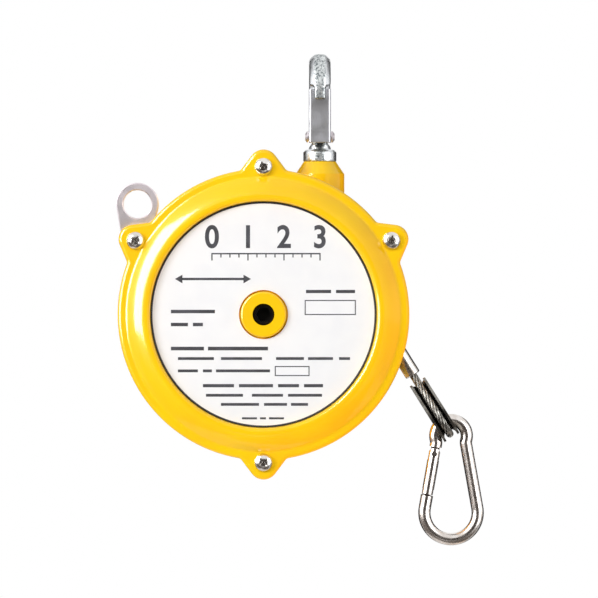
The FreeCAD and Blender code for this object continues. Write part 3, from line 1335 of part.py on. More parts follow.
MAKERS = [
    make_rear_case,
    make_front_cover,
    make_case_screws,
    make_nameplate,
    make_safety_lug,
    make_rope_guide,
    make_arbor,
    make_ratchet_wheel,
    make_click_spring,
    make_click_pin,
    make_drum,
    make_drum_plate,
    make_plate_screws,
    make_drum_rope,
    make_rope_anchor,
    make_main_spring,
    make_top_hook,
    make_latch,
    make_latch_rivet,
    make_latch_spring,
    make_rope_lead,
    make_rope_eye,
    make_thimble,
    make_ferrule,
    make_carabiner_body,
    make_gate_rivet,
]
for maker in MAKERS:
    node(maker())
for thing in make_gate():
    node(thing)
make_bushes_and_washers()

# Check every object, then write one file for each node
doc.recompute()
for thing in doc.Objects:
    if "Invalid" in thing.State or "Error" in thing.State:
        raise RuntimeError(f"{thing.Label} failed: {thing.State}")
os.makedirs("parts", exist_ok=True)
for thing in NODES:
    shape = thing.Shape
    if shape.isNull() or not shape.isValid():
        raise RuntimeError(f"{thing.Label} has no sound shape")
    shape.exportStep(f"parts/{thing.Label}.step")
    box = shape.BoundBox
    print(f"{thing.Label}: {len(shape.Solids)} solids, {shape.Volume:.0f} mm3, x {box.XMin:.1f} {box.XMax:.1f},"
          f" y {box.YMin:.1f} {box.YMax:.1f}, z {box.ZMin:.1f} {box.ZMax:.1f}")
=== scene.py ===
# %% [markdown]
# A spring balancer carries a hand tool over a work place. Its round case hangs from a swivel hook,
# and a sprung drum inside takes in the wire rope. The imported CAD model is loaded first. It says
# where each body is and what moves, and every piece below is fitted to it.

# %% Load the frame
import json
import math
import bmesh
import bpy
from mathutils import Matrix, Vector

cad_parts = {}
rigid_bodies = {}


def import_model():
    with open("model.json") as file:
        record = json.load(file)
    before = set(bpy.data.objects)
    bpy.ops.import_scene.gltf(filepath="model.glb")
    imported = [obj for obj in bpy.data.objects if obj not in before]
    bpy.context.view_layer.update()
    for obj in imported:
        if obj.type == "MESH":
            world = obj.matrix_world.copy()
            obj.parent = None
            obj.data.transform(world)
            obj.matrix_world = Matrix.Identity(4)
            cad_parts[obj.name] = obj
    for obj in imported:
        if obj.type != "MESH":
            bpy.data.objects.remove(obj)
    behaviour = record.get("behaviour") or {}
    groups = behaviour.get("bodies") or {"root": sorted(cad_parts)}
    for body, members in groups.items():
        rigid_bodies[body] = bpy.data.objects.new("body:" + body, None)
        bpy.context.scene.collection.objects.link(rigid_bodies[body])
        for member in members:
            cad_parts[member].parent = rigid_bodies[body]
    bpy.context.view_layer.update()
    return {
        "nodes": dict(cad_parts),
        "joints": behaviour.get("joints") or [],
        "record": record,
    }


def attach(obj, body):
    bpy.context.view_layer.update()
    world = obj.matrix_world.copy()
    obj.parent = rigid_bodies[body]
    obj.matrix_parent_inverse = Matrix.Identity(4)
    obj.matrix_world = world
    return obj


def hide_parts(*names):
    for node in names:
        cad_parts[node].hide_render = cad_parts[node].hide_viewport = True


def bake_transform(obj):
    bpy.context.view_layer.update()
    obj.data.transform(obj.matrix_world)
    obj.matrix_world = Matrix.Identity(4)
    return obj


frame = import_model()
joints = {joint["name"]: joint for joint in frame["joints"]}
print("joints:", sorted(joints))

# %% [markdown]
# Everything that turns about the drum's axis is drawn in millimetres as if on a bench, with X to
# the right, Y up and Z towards the viewer. One matrix then stands the drawing upright in front of
# the camera and moves it to the drum's axis.

# %% Places
MM = 0.001
UPRIGHT = Matrix.Rotation(math.radians(90), 4, "X")
drum_axis = Vector(joints["drum_spin"]["pos_m"])
snap_eye = Vector(joints["carabiner_swing"]["pos_m"])
rope_way = Vector(joints["rope_pull"]["axis"])
CASE = Matrix.Translation(drum_axis) @ UPRIGHT
print("drum axis", drum_axis, "snap hook's eye", snap_eye)

# %% [markdown]
# Meshes, lamps and the camera enter the scene in the same way. Each piece is drawn first as a
# bmesh, called a sketch below, which is freed once a mesh is made of it.


# %% Helpers for objects
def placed(name, data):
    """A new object in the scene that holds this mesh, lamp or camera."""
    thing = bpy.data.objects.new(name, data)
    bpy.context.scene.collection.objects.link(thing)
    return thing


def mesh_of(name, sketch):
    mesh = bpy.data.meshes.new(name)
    sketch.to_mesh(mesh)
    sketch.free()
    return mesh


# %% [markdown]
# The photograph was taken straight at the cover from far away, so a long lens stands two metres in
# front of it. The drum's axis has its known place in the picture, which fixes the camera's aim.

# %% Camera
PICTURE_PX = 598
PX = 1 / 2.64
AXIS_PX = (263.5, 314.5)
COVER_FACE = 17 * MM
CAMERA_AWAY = 2.0
SENSOR = 36.0

right = (PICTURE_PX / 2 - AXIS_PX[0]) * PX * MM
rise = (AXIS_PX[1] - PICTURE_PX / 2) * PX * MM
aim = Vector((drum_axis.x + right, -COVER_FACE, drum_axis.z + rise))
camera_data = bpy.data.cameras.new("camera")
camera_data.sensor_width = SENSOR
camera_data.lens = SENSOR * CAMERA_AWAY / (PICTURE_PX * PX * MM)
camera_data.clip_end = 50
camera = placed("camera", camera_data)
camera.location = aim + Vector((0, -CAMERA_AWAY, 0))
camera.rotation_euler = (math.radians(90), 0, 0)
bpy.context.scene.camera = camera
bpy.context.scene.view_settings.view_transform = "Standard"
print("picture width at the cover:", round(PICTURE_PX * PX, 1), "mm")

# %% [markdown]
# Shader maths reads best as plain arithmetic. The class below wraps a socket of a node tree. A sum
# or product of two of them adds a Math node, and its node method makes any other node from its
# type, the values or links of its sockets and its settings.


# %% Sockets with arithmetic
class Wire:
    """A socket of a node tree that can be used in sums."""

    def __init__(self, tree, socket=None):
        self.tree = tree
        self.socket = socket

    def node(self, kind, values=None, settings=None, out=0):
        made = self.tree.nodes.new("ShaderNode" + kind)
        for name, setting in (settings or {}).items():
            setattr(made, name, setting)
        for name, given in (values or {}).items():
            if isinstance(given, Wire):
                self.tree.links.new(given.socket, made.inputs[name])
            else:
                made.inputs[name].default_value = given
        return Wire(self.tree, made.outputs[out] if made.outputs else None)

    def maths(self, operation, *values):
        return self.node("Math", dict(enumerate(values)), {"operation": operation})

    def __add__(self, other):
        return self.maths("ADD", self, other)

    def __sub__(self, other):
        return self.maths("SUBTRACT", self, other)

    def __rsub__(self, other):
        return self.maths("SUBTRACT", other, self)

    def __mul__(self, other):
        return self.maths("MULTIPLY", self, other)

    __radd__ = __add__
    __rmul__ = __mul__

    def between(self, low, high):
        """0 below low, 1 above high, smooth in between."""
        return self.node("MapRange", {0: self, 1: low, 2: high}, {"interpolation_type": "SMOOTHSTEP"})

    def colour(self, first, second):
        """The first colour where this is 0, the second where it is 1."""
        return self.node("Mix", {0: self, 6: first, 7: second}, {"data_type": "RGBA"}, out=2)


# %% Helpers for materials
finishes = {}


def rgb(red, green, blue):
    """A colour as read on a screen, 0 to 255, turned into the shader's linear one."""
    parts = [part / 255 for part in (red, green, blue)]
    return (*[((part + 0.055) / 1.055) ** 2.4 if part > 0.04 else part / 12.92 for part in parts], 1.0)


def new_material(name):
    """A material without nodes, its tree and the place on the object."""
    material = bpy.data.materials.new(name)
    material.use_nodes = True
    material.node_tree.nodes.clear()
    tree = Wire(material.node_tree)
    return material, tree, tree.node("TexCoord", out=3)


def noise(tree, place, lump, detail=3.0, rough=0.5, stretch=(1, 1, 1)):
    """Fractal noise from 0 to 1 whose lumps measure about lump millimetres."""
    moved = tree.node("Mapping", {"Vector": place, "Scale": stretch})
    values = {"Vector": moved, "Scale": 1 / (lump * MM), "Detail": detail, "Roughness": rough}
    return tree.node("TexNoise", values)


def close(material, tree, values, height, depth):
    """Join everything to a Principled shader; height from 0 to 1 raises depth millimetres."""
    bump = {"Height": height, "Distance": depth * MM, "Strength": 1.0}
    shader = tree.node("BsdfPrincipled", {**values, "Normal": tree.node("Bump", bump)})
    tree.node("OutputMaterial", {"Surface": shader})
    return material


# %% [markdown]
# Most of the metal here differs only in colour, polish and grain, so one function makes all of it.
# A slow noise varies the tint and the polish, as handling does, and a fine one gives the grain. A
# stretch above 1 along one axis makes the noise vary faster along it, so a small stretch along a
# bar draws the lines that its polishing left.


# %% Metal
def metal_tint(cloud, fine, colour, dark):
    """From one colour to the other, mostly with the slow noise and a little with the fine one."""
    return (cloud * 0.7 + fine.between(0.4, 0.75) * 0.3).colour(rgb(*colour), rgb(*dark))


def metal(name, colour, dark, rough, grain=0.25, depth=0.004, stretch=(1, 1, 1), patch=6.0, spread=0.12):
    material, tree, place = new_material(name)
    cloud = noise(tree, place, patch).between(0.35, 0.7)
    fine = noise(tree, place, grain, 4.0, 0.6, stretch)
    values = {
        "Base Color": metal_tint(cloud, fine, colour, dark),
        "Roughness": cloud * spread + fine * spread + (rough - spread),
        "Metallic": 1.0,
    }
    finishes[name] = close(material, tree, values, fine, depth)


metal("screw_chrome", (236, 234, 230), (205, 200, 196), 0.2, depth=0.002)
metal("nickel_plate", (244, 236, 240), (216, 207, 211), 0.46, grain=0.35, depth=0.008)
metal("bush_brass", (214, 178, 104), (160, 124, 70), 0.35)
metal("spring_steel", (150, 156, 166), (86, 92, 104), 0.32)
metal("dark_steel", (58, 57, 56), (30, 30, 31), 0.38, depth=0.006)
metal("latch_sheet", (216, 217, 221), (182, 182, 188), 0.42, stretch=(1, 1, 0.12))
metal("ferrule_metal", (228, 225, 220), (168, 150, 134), 0.28, patch=3.0)
metal("thimble_sheet", (136, 134, 128), (68, 64, 58), 0.3, patch=3.0)
metal("rope_steel", (186, 184, 178), (74, 68, 62), 0.3, grain=0.4, patch=1.5)
print(len(finishes), "metals")

# %% [markdown]
# The snap hook is bent from polished round bar. Where its gate closes on the nose, a narrow dark
# line is painted for the shade in the gap between them. The line is found from the distance along
# the gate, measured from its rivet, and only the bar's left side has it.

# %% Polished bar
GATE_LEAN = math.radians(10)
SEAM_PLACE = 15.79 * MM
SEAM_HALF, SEAM_FADED = 0.25 * MM, 0.55 * MM
gate_rivet = Vector(joints["gate_hinge"]["pos_m"])
material, tree, place = new_material("snap_steel")
right = tree.node("SeparateXYZ", {"Vector": place})
height = tree.node("SeparateXYZ", {"Vector": place}, out=2)
along = (right - gate_rivet.x) * math.sin(GATE_LEAN) + (height - gate_rivet.z) * math.cos(GATE_LEAN)
off_seam = along.maths("ABSOLUTE", along + SEAM_PLACE).between(SEAM_HALF, SEAM_FADED)
# Painted shade: a dark, rougher line in the gap where the gate meets the nose, on the left side only.
painted_seam_shade = (1 - off_seam) * (1 - (right - snap_eye.x).between(-MM, MM))
cloud = noise(tree, place, 4.0).between(0.35, 0.7)
fine = noise(tree, place, 0.25, 4.0, 0.6)
steel = metal_tint(cloud, fine, (236, 231, 227), (200, 190, 182))
values = {
    "Base Color": painted_seam_shade.colour(steel, rgb(58, 50, 46)),
    "Roughness": cloud * 0.1 + painted_seam_shade * 0.4 + 0.2,
    "Metallic": 1.0,
}
finishes["snap_steel"] = close(material, tree, values, fine, 0.003)

# %% [markdown]
# The suspension hook is forged and then plated. Its middle band keeps the rough, pitted skin of the
# forging, much finer than a pixel, so a bump stands for it. The facets on both sides were ground
# clean. The distance from the middle plane tells the two apart.

# %% Forged steel
BAND_HALF, FACET_FROM = 1.8 * MM, 2.6 * MM
material, tree, place = new_material("hook_steel")
across = tree.node("SeparateXYZ", {"Vector": place})
facet = across.maths("ABSOLUTE", across).between(BAND_HALF, FACET_FROM)
pits = noise(tree, place, 0.8, 5.0, 0.65)
grime = pits.between(0.38, 0.56) * 0.75 + noise(tree, place, 5.0).between(0.4, 0.7) * 0.25
skin = grime.colour(rgb(98, 106, 110), rgb(232, 236, 236))
ground = grime.colour(rgb(206, 210, 214), rgb(238, 240, 242))
values = {
    "Base Color": facet.colour(skin, ground),
    "Roughness": 0.52 - grime * 0.16 - facet * 0.1,
    "Metallic": 1.0,
}
finishes["hook_steel"] = close(material, tree, values, pits * (1 - facet * 0.85), 0.09)

# %% [markdown]
# The case is a light-metal casting under thick gloss enamel. The enamel keeps a little of the
# casting's waviness, called orange peel. It is a coloured base with a clear coat, and its colour
# drifts by a few percent.

# %% Enamel
material, tree, place = new_material("case_paint")
drift = noise(tree, place, 22.0, 2.0).between(0.35, 0.65)
peel = noise(tree, place, 1.6, 2.0, 0.45)
speck = noise(tree, place, 0.5, 2.0).between(0.66, 0.74)
values = {
    "Base Color": (drift * 0.8 + speck * 0.2).colour(rgb(255, 206, 0), rgb(252, 198, 0)),
    "Roughness": drift * 0.06 + 0.34,
    "Coat Weight": 0.7,
    "Coat Roughness": 0.12,
    "Coat IOR": 1.5,
    "Specular IOR Level": 0.1,
}
finishes["case_paint"] = close(material, tree, values, peel, 0.018)

# %% [markdown]
# Moulded plastic carries a fine even texture from its mould, and its tint and gloss drift in slow
# patches. The rope guide is black; the drum is a natural, slightly yellow nylon.


# %% Plastics
def plastic(name, colour, worn, rough, grain=0.35, depth=0.008):
    material, tree, place = new_material(name)
    cloud = noise(tree, place, 7.0).between(0.35, 0.7)
    fine = noise(tree, place, grain, 3.0, 0.6)
    values = {"Base Color": cloud.colour(rgb(*colour), rgb(*worn)), "Roughness": rough - cloud * 0.12}
    finishes[name] = close(material, tree, values, fine, depth)


plastic("guide_plastic", (34, 34, 36), (52, 51, 50), 0.5)
plastic("drum_plastic", (196, 194, 182), (178, 174, 158), 0.45)
plastic("label_sheet", (246, 246, 247), (244, 244, 246), 0.42, 0.6, 0.002)
plastic("label_ink", (62, 62, 66), (84, 84, 90), 0.5, 0.25, 0.002)
print("finishes:", sorted(finishes))

# %% [markdown]
# Every CAD node takes the finish of its own slot in the record. Pieces further down stand in for
# the few nodes whose real shape is finer than the solid one.

# %% Dress the CAD nodes
slots = {part["node"]: part["material_slot"] for part in frame["record"]["subparts"]}
for node, thing in frame["nodes"].items():
    thing.data.materials.clear()
    thing.data.materials.append(finishes[slots[node]])
print("dressed", len(slots), "nodes")

# %% [markdown]
# A piece is drawn in millimetres and then becomes an object whose place is in its mesh. Faces are
# shaded smooth, except across edges sharper than a chosen angle. Its slot names the finish it
# takes from the record.


# %% Helpers for pieces
def shape_of(name, sketch, slot, place=CASE, crease=35, ink=None):
    """Turn a sketch into an object at its place in the frame."""
    bmesh.ops.transform(sketch, matrix=place @ Matrix.Scale(MM, 4), verts=sketch.verts)
    bmesh.ops.recalc_face_normals(sketch, faces=sketch.faces)
    for face in sketch.faces:
        face.smooth = True
    for edge in sketch.edges:
        edge.smooth = edge.calc_face_angle(0) < math.radians(crease)
    mesh = mesh_of(name, sketch)
    mesh.materials.append(finishes[ink or slot])
    thing = placed(name, mesh)
    print(name, "has", len(mesh.polygons), "faces")
    return thing


def lathe(sketch, profile, steps):
    """Turn a profile of (radius, height) once about the Z axis; one that misses it is closed."""
    points = [sketch.verts.new((radius, 0, height)) for radius, height in profile]
    edges = [sketch.edges.new(pair) for pair in zip(points, points[1:])]
    if profile[0][0] > 0:
        edges.append(sketch.edges.new((points[-1], points[0])))
    before = set(sketch.verts) - set(points)
    turn = {"cent": (0, 0, 0), "axis": (0, 0, 1), "angle": 2 * math.pi, "steps": steps}
    bmesh.ops.spin(sketch, geom=points + edges, use_merge=True, **turn)
    made = [point for point in sketch.verts if point not in before]
    bmesh.ops.remove_doubles(sketch, verts=made, dist=0.001)


def finished(*things):
    """A sketch of the first object after its modifier. All the objects are then removed."""
    sketch = bmesh.new()
    sketch.from_object(things[0], bpy.context.evaluated_depsgraph_get())
    for thing in things:
        bpy.data.objects.remove(thing)
    return sketch


def carved(sketch, tool):
    """The first sketch less the second, which are closed shells."""
    things = []
    for part in (sketch, tool):
        bmesh.ops.recalc_face_normals(part, faces=part.faces)
        things.append(placed("part", mesh_of("part", part)))
    cut = things[0].modifiers.new("cut", "BOOLEAN")
    cut.operation, cut.solver, cut.object = "DIFFERENCE", "EXACT", things[1]
    return finished(*things)


# %% [markdown]
# Wire rope of this size is six strands laid round a core. A picture of strands on a smooth tube
# looks painted, so each strand is real geometry. Circles for the core and the strands stand in one
# ring and are spun about the rope's line while they rise along it, one turn for each lay. Every
# second point of a strand is drawn in a little, which gives it the outline of a bundle of wires.

# %% Rope strands
ROPE = 1.5
LAY = 17.0
STRANDS = 6
STRAND = 0.5
CORE = 0.58
DRAWN_IN = 0.14
ROPE_CREASE = 70
EYE_FORWARD, EYE_DISTANCE = 1.55, 77.0
rope_foot = snap_eye - rope_way * EYE_DISTANCE * MM + Vector((0, EYE_FORWARD * MM, 0))
print("the rope leaves the drum at", rope_foot)


def along_rope(distance, ahead=0.0):
    """The frame at a distance along the rope's line, in millimetres from its tangent point."""
    side = Vector((0, -1, 0))
    columns = Matrix((side, rope_way.cross(side), rope_way)).transposed().to_4x4()
    return Matrix.Translation(rope_foot + (rope_way * distance + side * ahead) * MM) @ columns


def laid_rope(stops, length, sides=12):
    """A rope of that length along Z, whose rings are then carried to the stops."""
    sketch = bmesh.new()
    bmesh.ops.create_circle(sketch, cap_ends=True, radius=CORE, segments=sides)
    out = Matrix.Translation((ROPE - STRAND, 0, 0))
    for strand in range(STRANDS):
        turn = Matrix.Rotation(2 * math.pi * strand / STRANDS, 4, "Z") @ out
        circle = {"cap_ends": True, "radius": STRAND, "segments": sides, "matrix": turn}
        for number, point in enumerate(bmesh.ops.create_circle(sketch, **circle)["verts"]):
            if number % 2:
                point.co = point.co.lerp(turn.translation, DRAWN_IN)
    rings = len(stops) - 1
    rise = length / rings
    angle = 2 * math.pi * length / LAY
    way = {"cent": (0, 0, 0), "axis": (0, 0, 1), "dvec": (0, 0, rise), "angle": angle}
    rim = list(sketch.verts) + list(sketch.edges)
    last = bmesh.ops.spin(sketch, geom=rim, steps=rings, **way)["geom_last"]
    bmesh.ops.holes_fill(sketch, edges=[part for part in last if isinstance(part, bmesh.types.BMEdge)])
    for point in sketch.verts:
        ring = min(rings, round(point.co.z / rise))
        point.co = stops[ring] @ (point.co - Vector((0, 0, ring * rise)))
    return sketch


# %% [markdown]
# The rope's eye lies round the thimble. From the ferrule its two ends run side by side, part at a
# small bend, follow the thimble's straight sides and meet round its bow. The rope's line is walked
# in steps of less than a millimetre, and each step is one ring of the rope.

# %% Rope eye
STEP = 0.7
EYE_TURN, EYE_BEND, EYE_LOOP = 21.37, 6.0, 7.95
RUN_IN, RUN_SIDE = 10.7, 15.0
SPACING = 1.525
FERRULE_START = 37.9
EYE_INSIDE, LEAD_INSIDE = 0.5, 1.0


def walk(place, *moves):
    """Frames along a bent line: a move is a run's length, or a bend's (radius, degrees)."""
    stops = [place]
    for move in moves:
        radius, turn = move if isinstance(move, tuple) else (0, 0)
        length = math.radians(turn) * radius if turn else move
        count = max(1, round(length / STEP))
        pivot = Matrix.Translation((radius, 0, 0))
        step = Matrix.Translation((0, 0, length / count))
        if turn:
            step = pivot @ Matrix.Rotation(math.radians(turn / count), 4, "Y") @ pivot.inverted()
        for number in range(count):
            stops.append(stops[-1] @ step)
    return stops


bend = (EYE_BEND, EYE_TURN)
round_eye = (-EYE_LOOP, -180 - 2 * EYE_TURN)
start = Matrix.Translation((SPACING, 0, 0))
stops = walk(start, RUN_IN, bend, RUN_SIDE, round_eye, RUN_SIDE, bend, RUN_IN)
length = sum((here.translation - last.translation).length for last, here in zip(stops, stops[1:]))
eye_place = along_rope(FERRULE_START + EYE_INSIDE, EYE_FORWARD)
sketch = laid_rope(stops, length)
rope_eye = shape_of("rope_eye_strands", sketch, "rope_steel", eye_place, ROPE_CREASE)
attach(rope_eye, "rope_end")
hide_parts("rope_eye")
print("rope in the eye:", round(length, 1), "mm")

# %% [markdown]
# The rope between the drum and the ferrule is short at rest and a metre longer when the load is
# pulled down. The piece is blended between the case and the rope's end, and its rings are placed by
# the blend's own curve, so that the lay comes out even once the rope is out.

# %% Rope in the case
PULL = joints["rope_pull"]["range_m"][1] / MM
LEAD = FERRULE_START + LEAD_INSIDE
RINGS = 560


def at_rest(distance):
    """Where a point of the pulled rope lies at rest, found by halving."""
    low, high = 0.0, 1.0
    for step in range(40):
        here = (low + high) / 2
        short = here * LEAD + here * here * (3 - 2 * here) * PULL < distance
        low, high = (here, high) if short else (low, here)
    return low * LEAD


ring_gap = (LEAD + PULL) / RINGS
stops = [Matrix.Translation((0, 0, at_rest(ring * ring_gap))) for ring in range(RINGS + 1)]
sketch = laid_rope(stops, LEAD + PULL, sides=8)
rope_lead = shape_of("rope_lead_strands", sketch, "rope_steel", along_rope(0), ROPE_CREASE)
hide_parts("rope_lead")
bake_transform(rope_lead)

# %% [markdown]
# The suspension hook was forged and tumbled, and its latch was bent from sheet, so neither has a
# sharp edge. A copy of the CAD mesh is rebuilt from small even cells and then smoothed a number of
# times, which rounds each edge as far as the tumbling did. Below the collar, where the shank turns
# in its bush, hardly anything is taken off.

# %% Rounded copies
COLLAR_FOOT = -0.0292
EVERYWHERE = -1
SMOOTHING = {"factor": 0.5, "use_axis_x": True, "use_axis_y": True, "use_axis_z": True}


def tumbled(name, node, slot, cell, passes, above):
    """A copy of a CAD node with round edges above a height in metres; cell in millimetres."""
    sketch = bmesh.new()
    sketch.from_mesh(frame["nodes"][node].data)
    bmesh.ops.remove_doubles(sketch, verts=sketch.verts, dist=0.002 * MM)
    thing = placed("part", mesh_of("part", sketch))
    cells = thing.modifiers.new("cells", "REMESH")
    cells.mode, cells.voxel_size = "VOXEL", cell * MM
    sketch = finished(thing)
    soft = [point for point in sketch.verts if point.co.z > above]
    bmesh.ops.smooth_vert(sketch, verts=sketch.verts, **SMOOTHING)
    for number in range(passes):
        bmesh.ops.smooth_vert(sketch, verts=soft, **SMOOTHING)
    return shape_of(name, sketch, slot, Matrix.Scale(1 / MM, 4), crease=180)


hook = tumbled("hook_forging", "top_hook", "hook_steel", cell=0.3, passes=24, above=COLLAR_FOOT)
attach(hook, "hook")
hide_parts("top_hook")
latch = tumbled("latch_pressing", "latch", "latch_sheet", cell=0.2, passes=5, above=EVERYWHERE)
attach(latch, "latch")
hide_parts("latch")

# %% [markdown]
# A wire spring on the rivet holds the latch against the hook's point. Its turns and the leg behind
# them stay with the hook. The leg in front leans on the latch and touches the coil along a tangent.
# Both turn about the rivet, so when the latch opens, the leg's foot only slides round the coil.

# %% Latch spring
SPRING_WIRE, SPRING_RING = 0.35, 1.95
LEG_OUT = 1.92
HOOK_LEG, LATCH_LEG = 4.8, 10
to_rivet = Matrix(((0, 0, 1), (1, 0, 0), (0, 1, 0))).to_4x4()
RIVET = Matrix.Translation(joints["latch_hinge"]["pos_m"]) @ to_rivet


def add_leg(sketch, side, length):
    """A straight wire that rises from the coil's hook side (1) or latch side (-1)."""
    spot = (side * LEG_OUT, length / 2, -2 * side * SPRING_WIRE)
    place = Matrix.Translation(spot) @ Matrix.Rotation(math.radians(90), 4, "X")
    size = {"radius1": SPRING_WIRE, "radius2": SPRING_WIRE, "depth": length}
    bmesh.ops.create_cone(sketch, cap_ends=True, segments=16, matrix=place, **size)


sketch = bmesh.new()
for shift in (-2, 0, 2):
    round_wire = []
    for step in range(12):
        angle = math.radians(30 * step + 15)
        across = SPRING_RING + SPRING_WIRE * math.cos(angle)
        round_wire.append((across, SPRING_WIRE * (math.sin(angle) + shift)))
    lathe(sketch, round_wire, 40)
add_leg(sketch, 1, HOOK_LEG)
coil = shape_of("latch_spring_coil", sketch, "spring_steel", RIVET)
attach(coil, "hook")
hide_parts("latch_spring")
sketch = bmesh.new()
add_leg(sketch, -1, LATCH_LEG)
leg = shape_of("latch_spring_leg", sketch, "spring_steel", RIVET)
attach(leg, "latch")

# %% [markdown]
# The case is closed by four pan head screws. A turned profile makes the head and its shank, and a
# tapered cross is carved out of it for the driver. The four were tightened by hand, so no two
# crosses stand alike: each screw has its angle on the cover and the turn of its cross.

# %% Case screws
SCREW_CIRCLE, SCREW_SEAT = 56.0, 17.0
SCREWS = ((30, 78), (90, 24), (150, 58), (270, 40))
HEAD = [(0, 2.4), (1.3, 2.36), (2.3, 2.1), (3.0, 1.55), (3.4, 0.85), (3.5, 0.3), (3.5, 0.0)]
SHANK = [(1.95, 0.0), (1.95, -9.3), (1.4, -10.0), (0, -10.0)]
CROSS = (4.5, 0.85, 1.6)
CROSS_FOOT = (0.5, 0.7, 1)
CROSS_MIDDLE = 2.0
sketch = bmesh.new()
for angle, turn in SCREWS:
    screw = bmesh.new()
    lathe(screw, HEAD + SHANK, 48)
    for arm in (0, 90):
        slot = bmesh.new()
        turned = Matrix.Rotation(math.radians(turn + arm), 4, "Z")
        spot = Matrix.Translation((0, 0, CROSS_MIDDLE)) @ turned
        bmesh.ops.create_cube(slot, size=1, matrix=spot @ Matrix.Diagonal((*CROSS, 1)))
        low = [point for point in slot.verts if point.co.z < CROSS_MIDDLE]
        bmesh.ops.scale(slot, vec=CROSS_FOOT, verts=low)
        screw = carved(screw, slot)
    across = math.radians(angle)
    spot = Vector((SCREW_CIRCLE * math.cos(across), SCREW_CIRCLE * math.sin(across), SCREW_SEAT))
    bmesh.ops.translate(screw, vec=spot, verts=screw.verts)
    sketch.from_mesh(mesh_of("screw", screw))
screws = shape_of("case_screw_heads", sketch, "screw_chrome")
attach(screws, "housing")
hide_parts("case_screws")

# %% [markdown]
# Between the label and the raised ring lies a narrow black ring, turned with round edges, that is
# painted shade for the deep gap there.

# %% Painted shade in the label's gap
GAP_SHADE_IN = [(42.02, 17.2), (42.02, 18.62), (42.2, 18.74)]
GAP_SHADE_OUT = [(42.6, 18.74), (42.78, 18.6), (42.78, 17.2)]
sketch = bmesh.new()
lathe(sketch, GAP_SHADE_IN + GAP_SHADE_OUT, 160)
# A black ring stands for the shade in the gap: painted shade.
gap_shade = shape_of("label_seal", sketch, "label_sheet", ink="guide_plastic")
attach(gap_shade, "housing")

# %% [markdown]
# The raised ring round the label was modelled with plain flats. On the real casting the flats run
# into each other in soft rounds, and thick enamel fills the corner at the ring's foot. That is
# what bends the light along the ring. One turned skin, a few tenths of a millimetre proud, gives
# the ring those rounds.

# %% Enamelled ring
FOOT = [(52.6, 16.95), (52.3, 17.02), (52.0, 17.09), (51.75, 17.23), (51.5, 17.44), (51.25, 17.69)]
SLOPE = [(51.0, 17.94), (50.5, 18.42), (50.0, 18.88), (49.0, 19.71), (48.0, 20.4), (47.0, 20.93)]
CROWN = [(46.3, 21.22), (45.7, 21.4), (45.1, 21.5), (44.5, 21.52), (44.0, 21.44), (43.6, 21.27)]
HOLLOW = [(43.27, 20.98), (43.08, 20.5), (42.96, 19.9), (42.86, 19.2), (42.8, 18.6), (42.8, 17.0)]
sketch = bmesh.new()
lathe(sketch, FOOT + SLOPE + CROWN + HOLLOW, 192)
skin = shape_of("ring_enamel", sketch, "case_paint", crease=60)
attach(skin, "housing")

# %% [markdown]
# The label is a flat round sheet with print on it. The print here is of a plain kind: a scale with
# numbers, an arrow, bars where lines of text would stand and two empty boxes. Each is a very thin
# solid on the sheet, so the print keeps its edge at any distance. Places and sizes are in pixels
# of the photograph.

# %% Print on the label
LABEL_FACE = 18.7
INK = 0.03
CAPITAL = 0.7
NARROW = 0.92
BOLD = 0.022


def on_label(x, y, width, height):
    """The matrix that lays a unit shape on the label."""
    spot = Vector(((x - AXIS_PX[0]) * PX, (AXIS_PX[1] - y) * PX, LABEL_FACE + INK / 2))
    return Matrix.Translation(spot) @ Matrix.Diagonal((width * PX, height * PX, INK, 1))


def add_bar(sketch, x0, y0, x1, y1):
    place = on_label((x0 + x1) / 2, (y0 + y1) / 2, x1 - x0, y1 - y0)
    bmesh.ops.create_cube(sketch, size=1, matrix=place)


def add_box(sketch, x0, y0, x1, y1, line=1.0):
    for top in (y0, y1 - line):
        add_bar(sketch, x0, top, x1, top + line)
    for left in (x0, x1 - line):
        add_bar(sketch, left, y0, left + line, y1)


def add_tip(sketch, x, y, size, turn):
    """A solid triangle for the end of an arrow."""
    place = on_label(x, y, size, size) @ Matrix.Rotation(math.radians(turn), 4, "Z")
    ends = {"radius1": 1, "radius2": 1, "depth": 1}
    bmesh.ops.create_cone(sketch, segments=3, cap_ends=True, matrix=place, **ends)


def add_number(sketch, text, x, y, height):
    """Numerals centred at a place."""
    words = bpy.data.curves.new("number", "FONT")
    words.body, words.align_x, words.align_y = text, "CENTER", "CENTER"
    words.extrude, words.offset = 0.5, BOLD
    holder = bpy.data.objects.new("number", words)
    numeral = bmesh.new()
    numeral.from_mesh(bpy.data.meshes.new_from_object(holder))
    bmesh.ops.remove_doubles(numeral, verts=numeral.verts, dist=0.0001)
    size = height / CAPITAL
    bmesh.ops.transform(numeral, matrix=on_label(x, y, size * NARROW, size), verts=numeral.verts)
    sketch.from_mesh(mesh_of("number", numeral))
    bpy.data.objects.remove(holder)


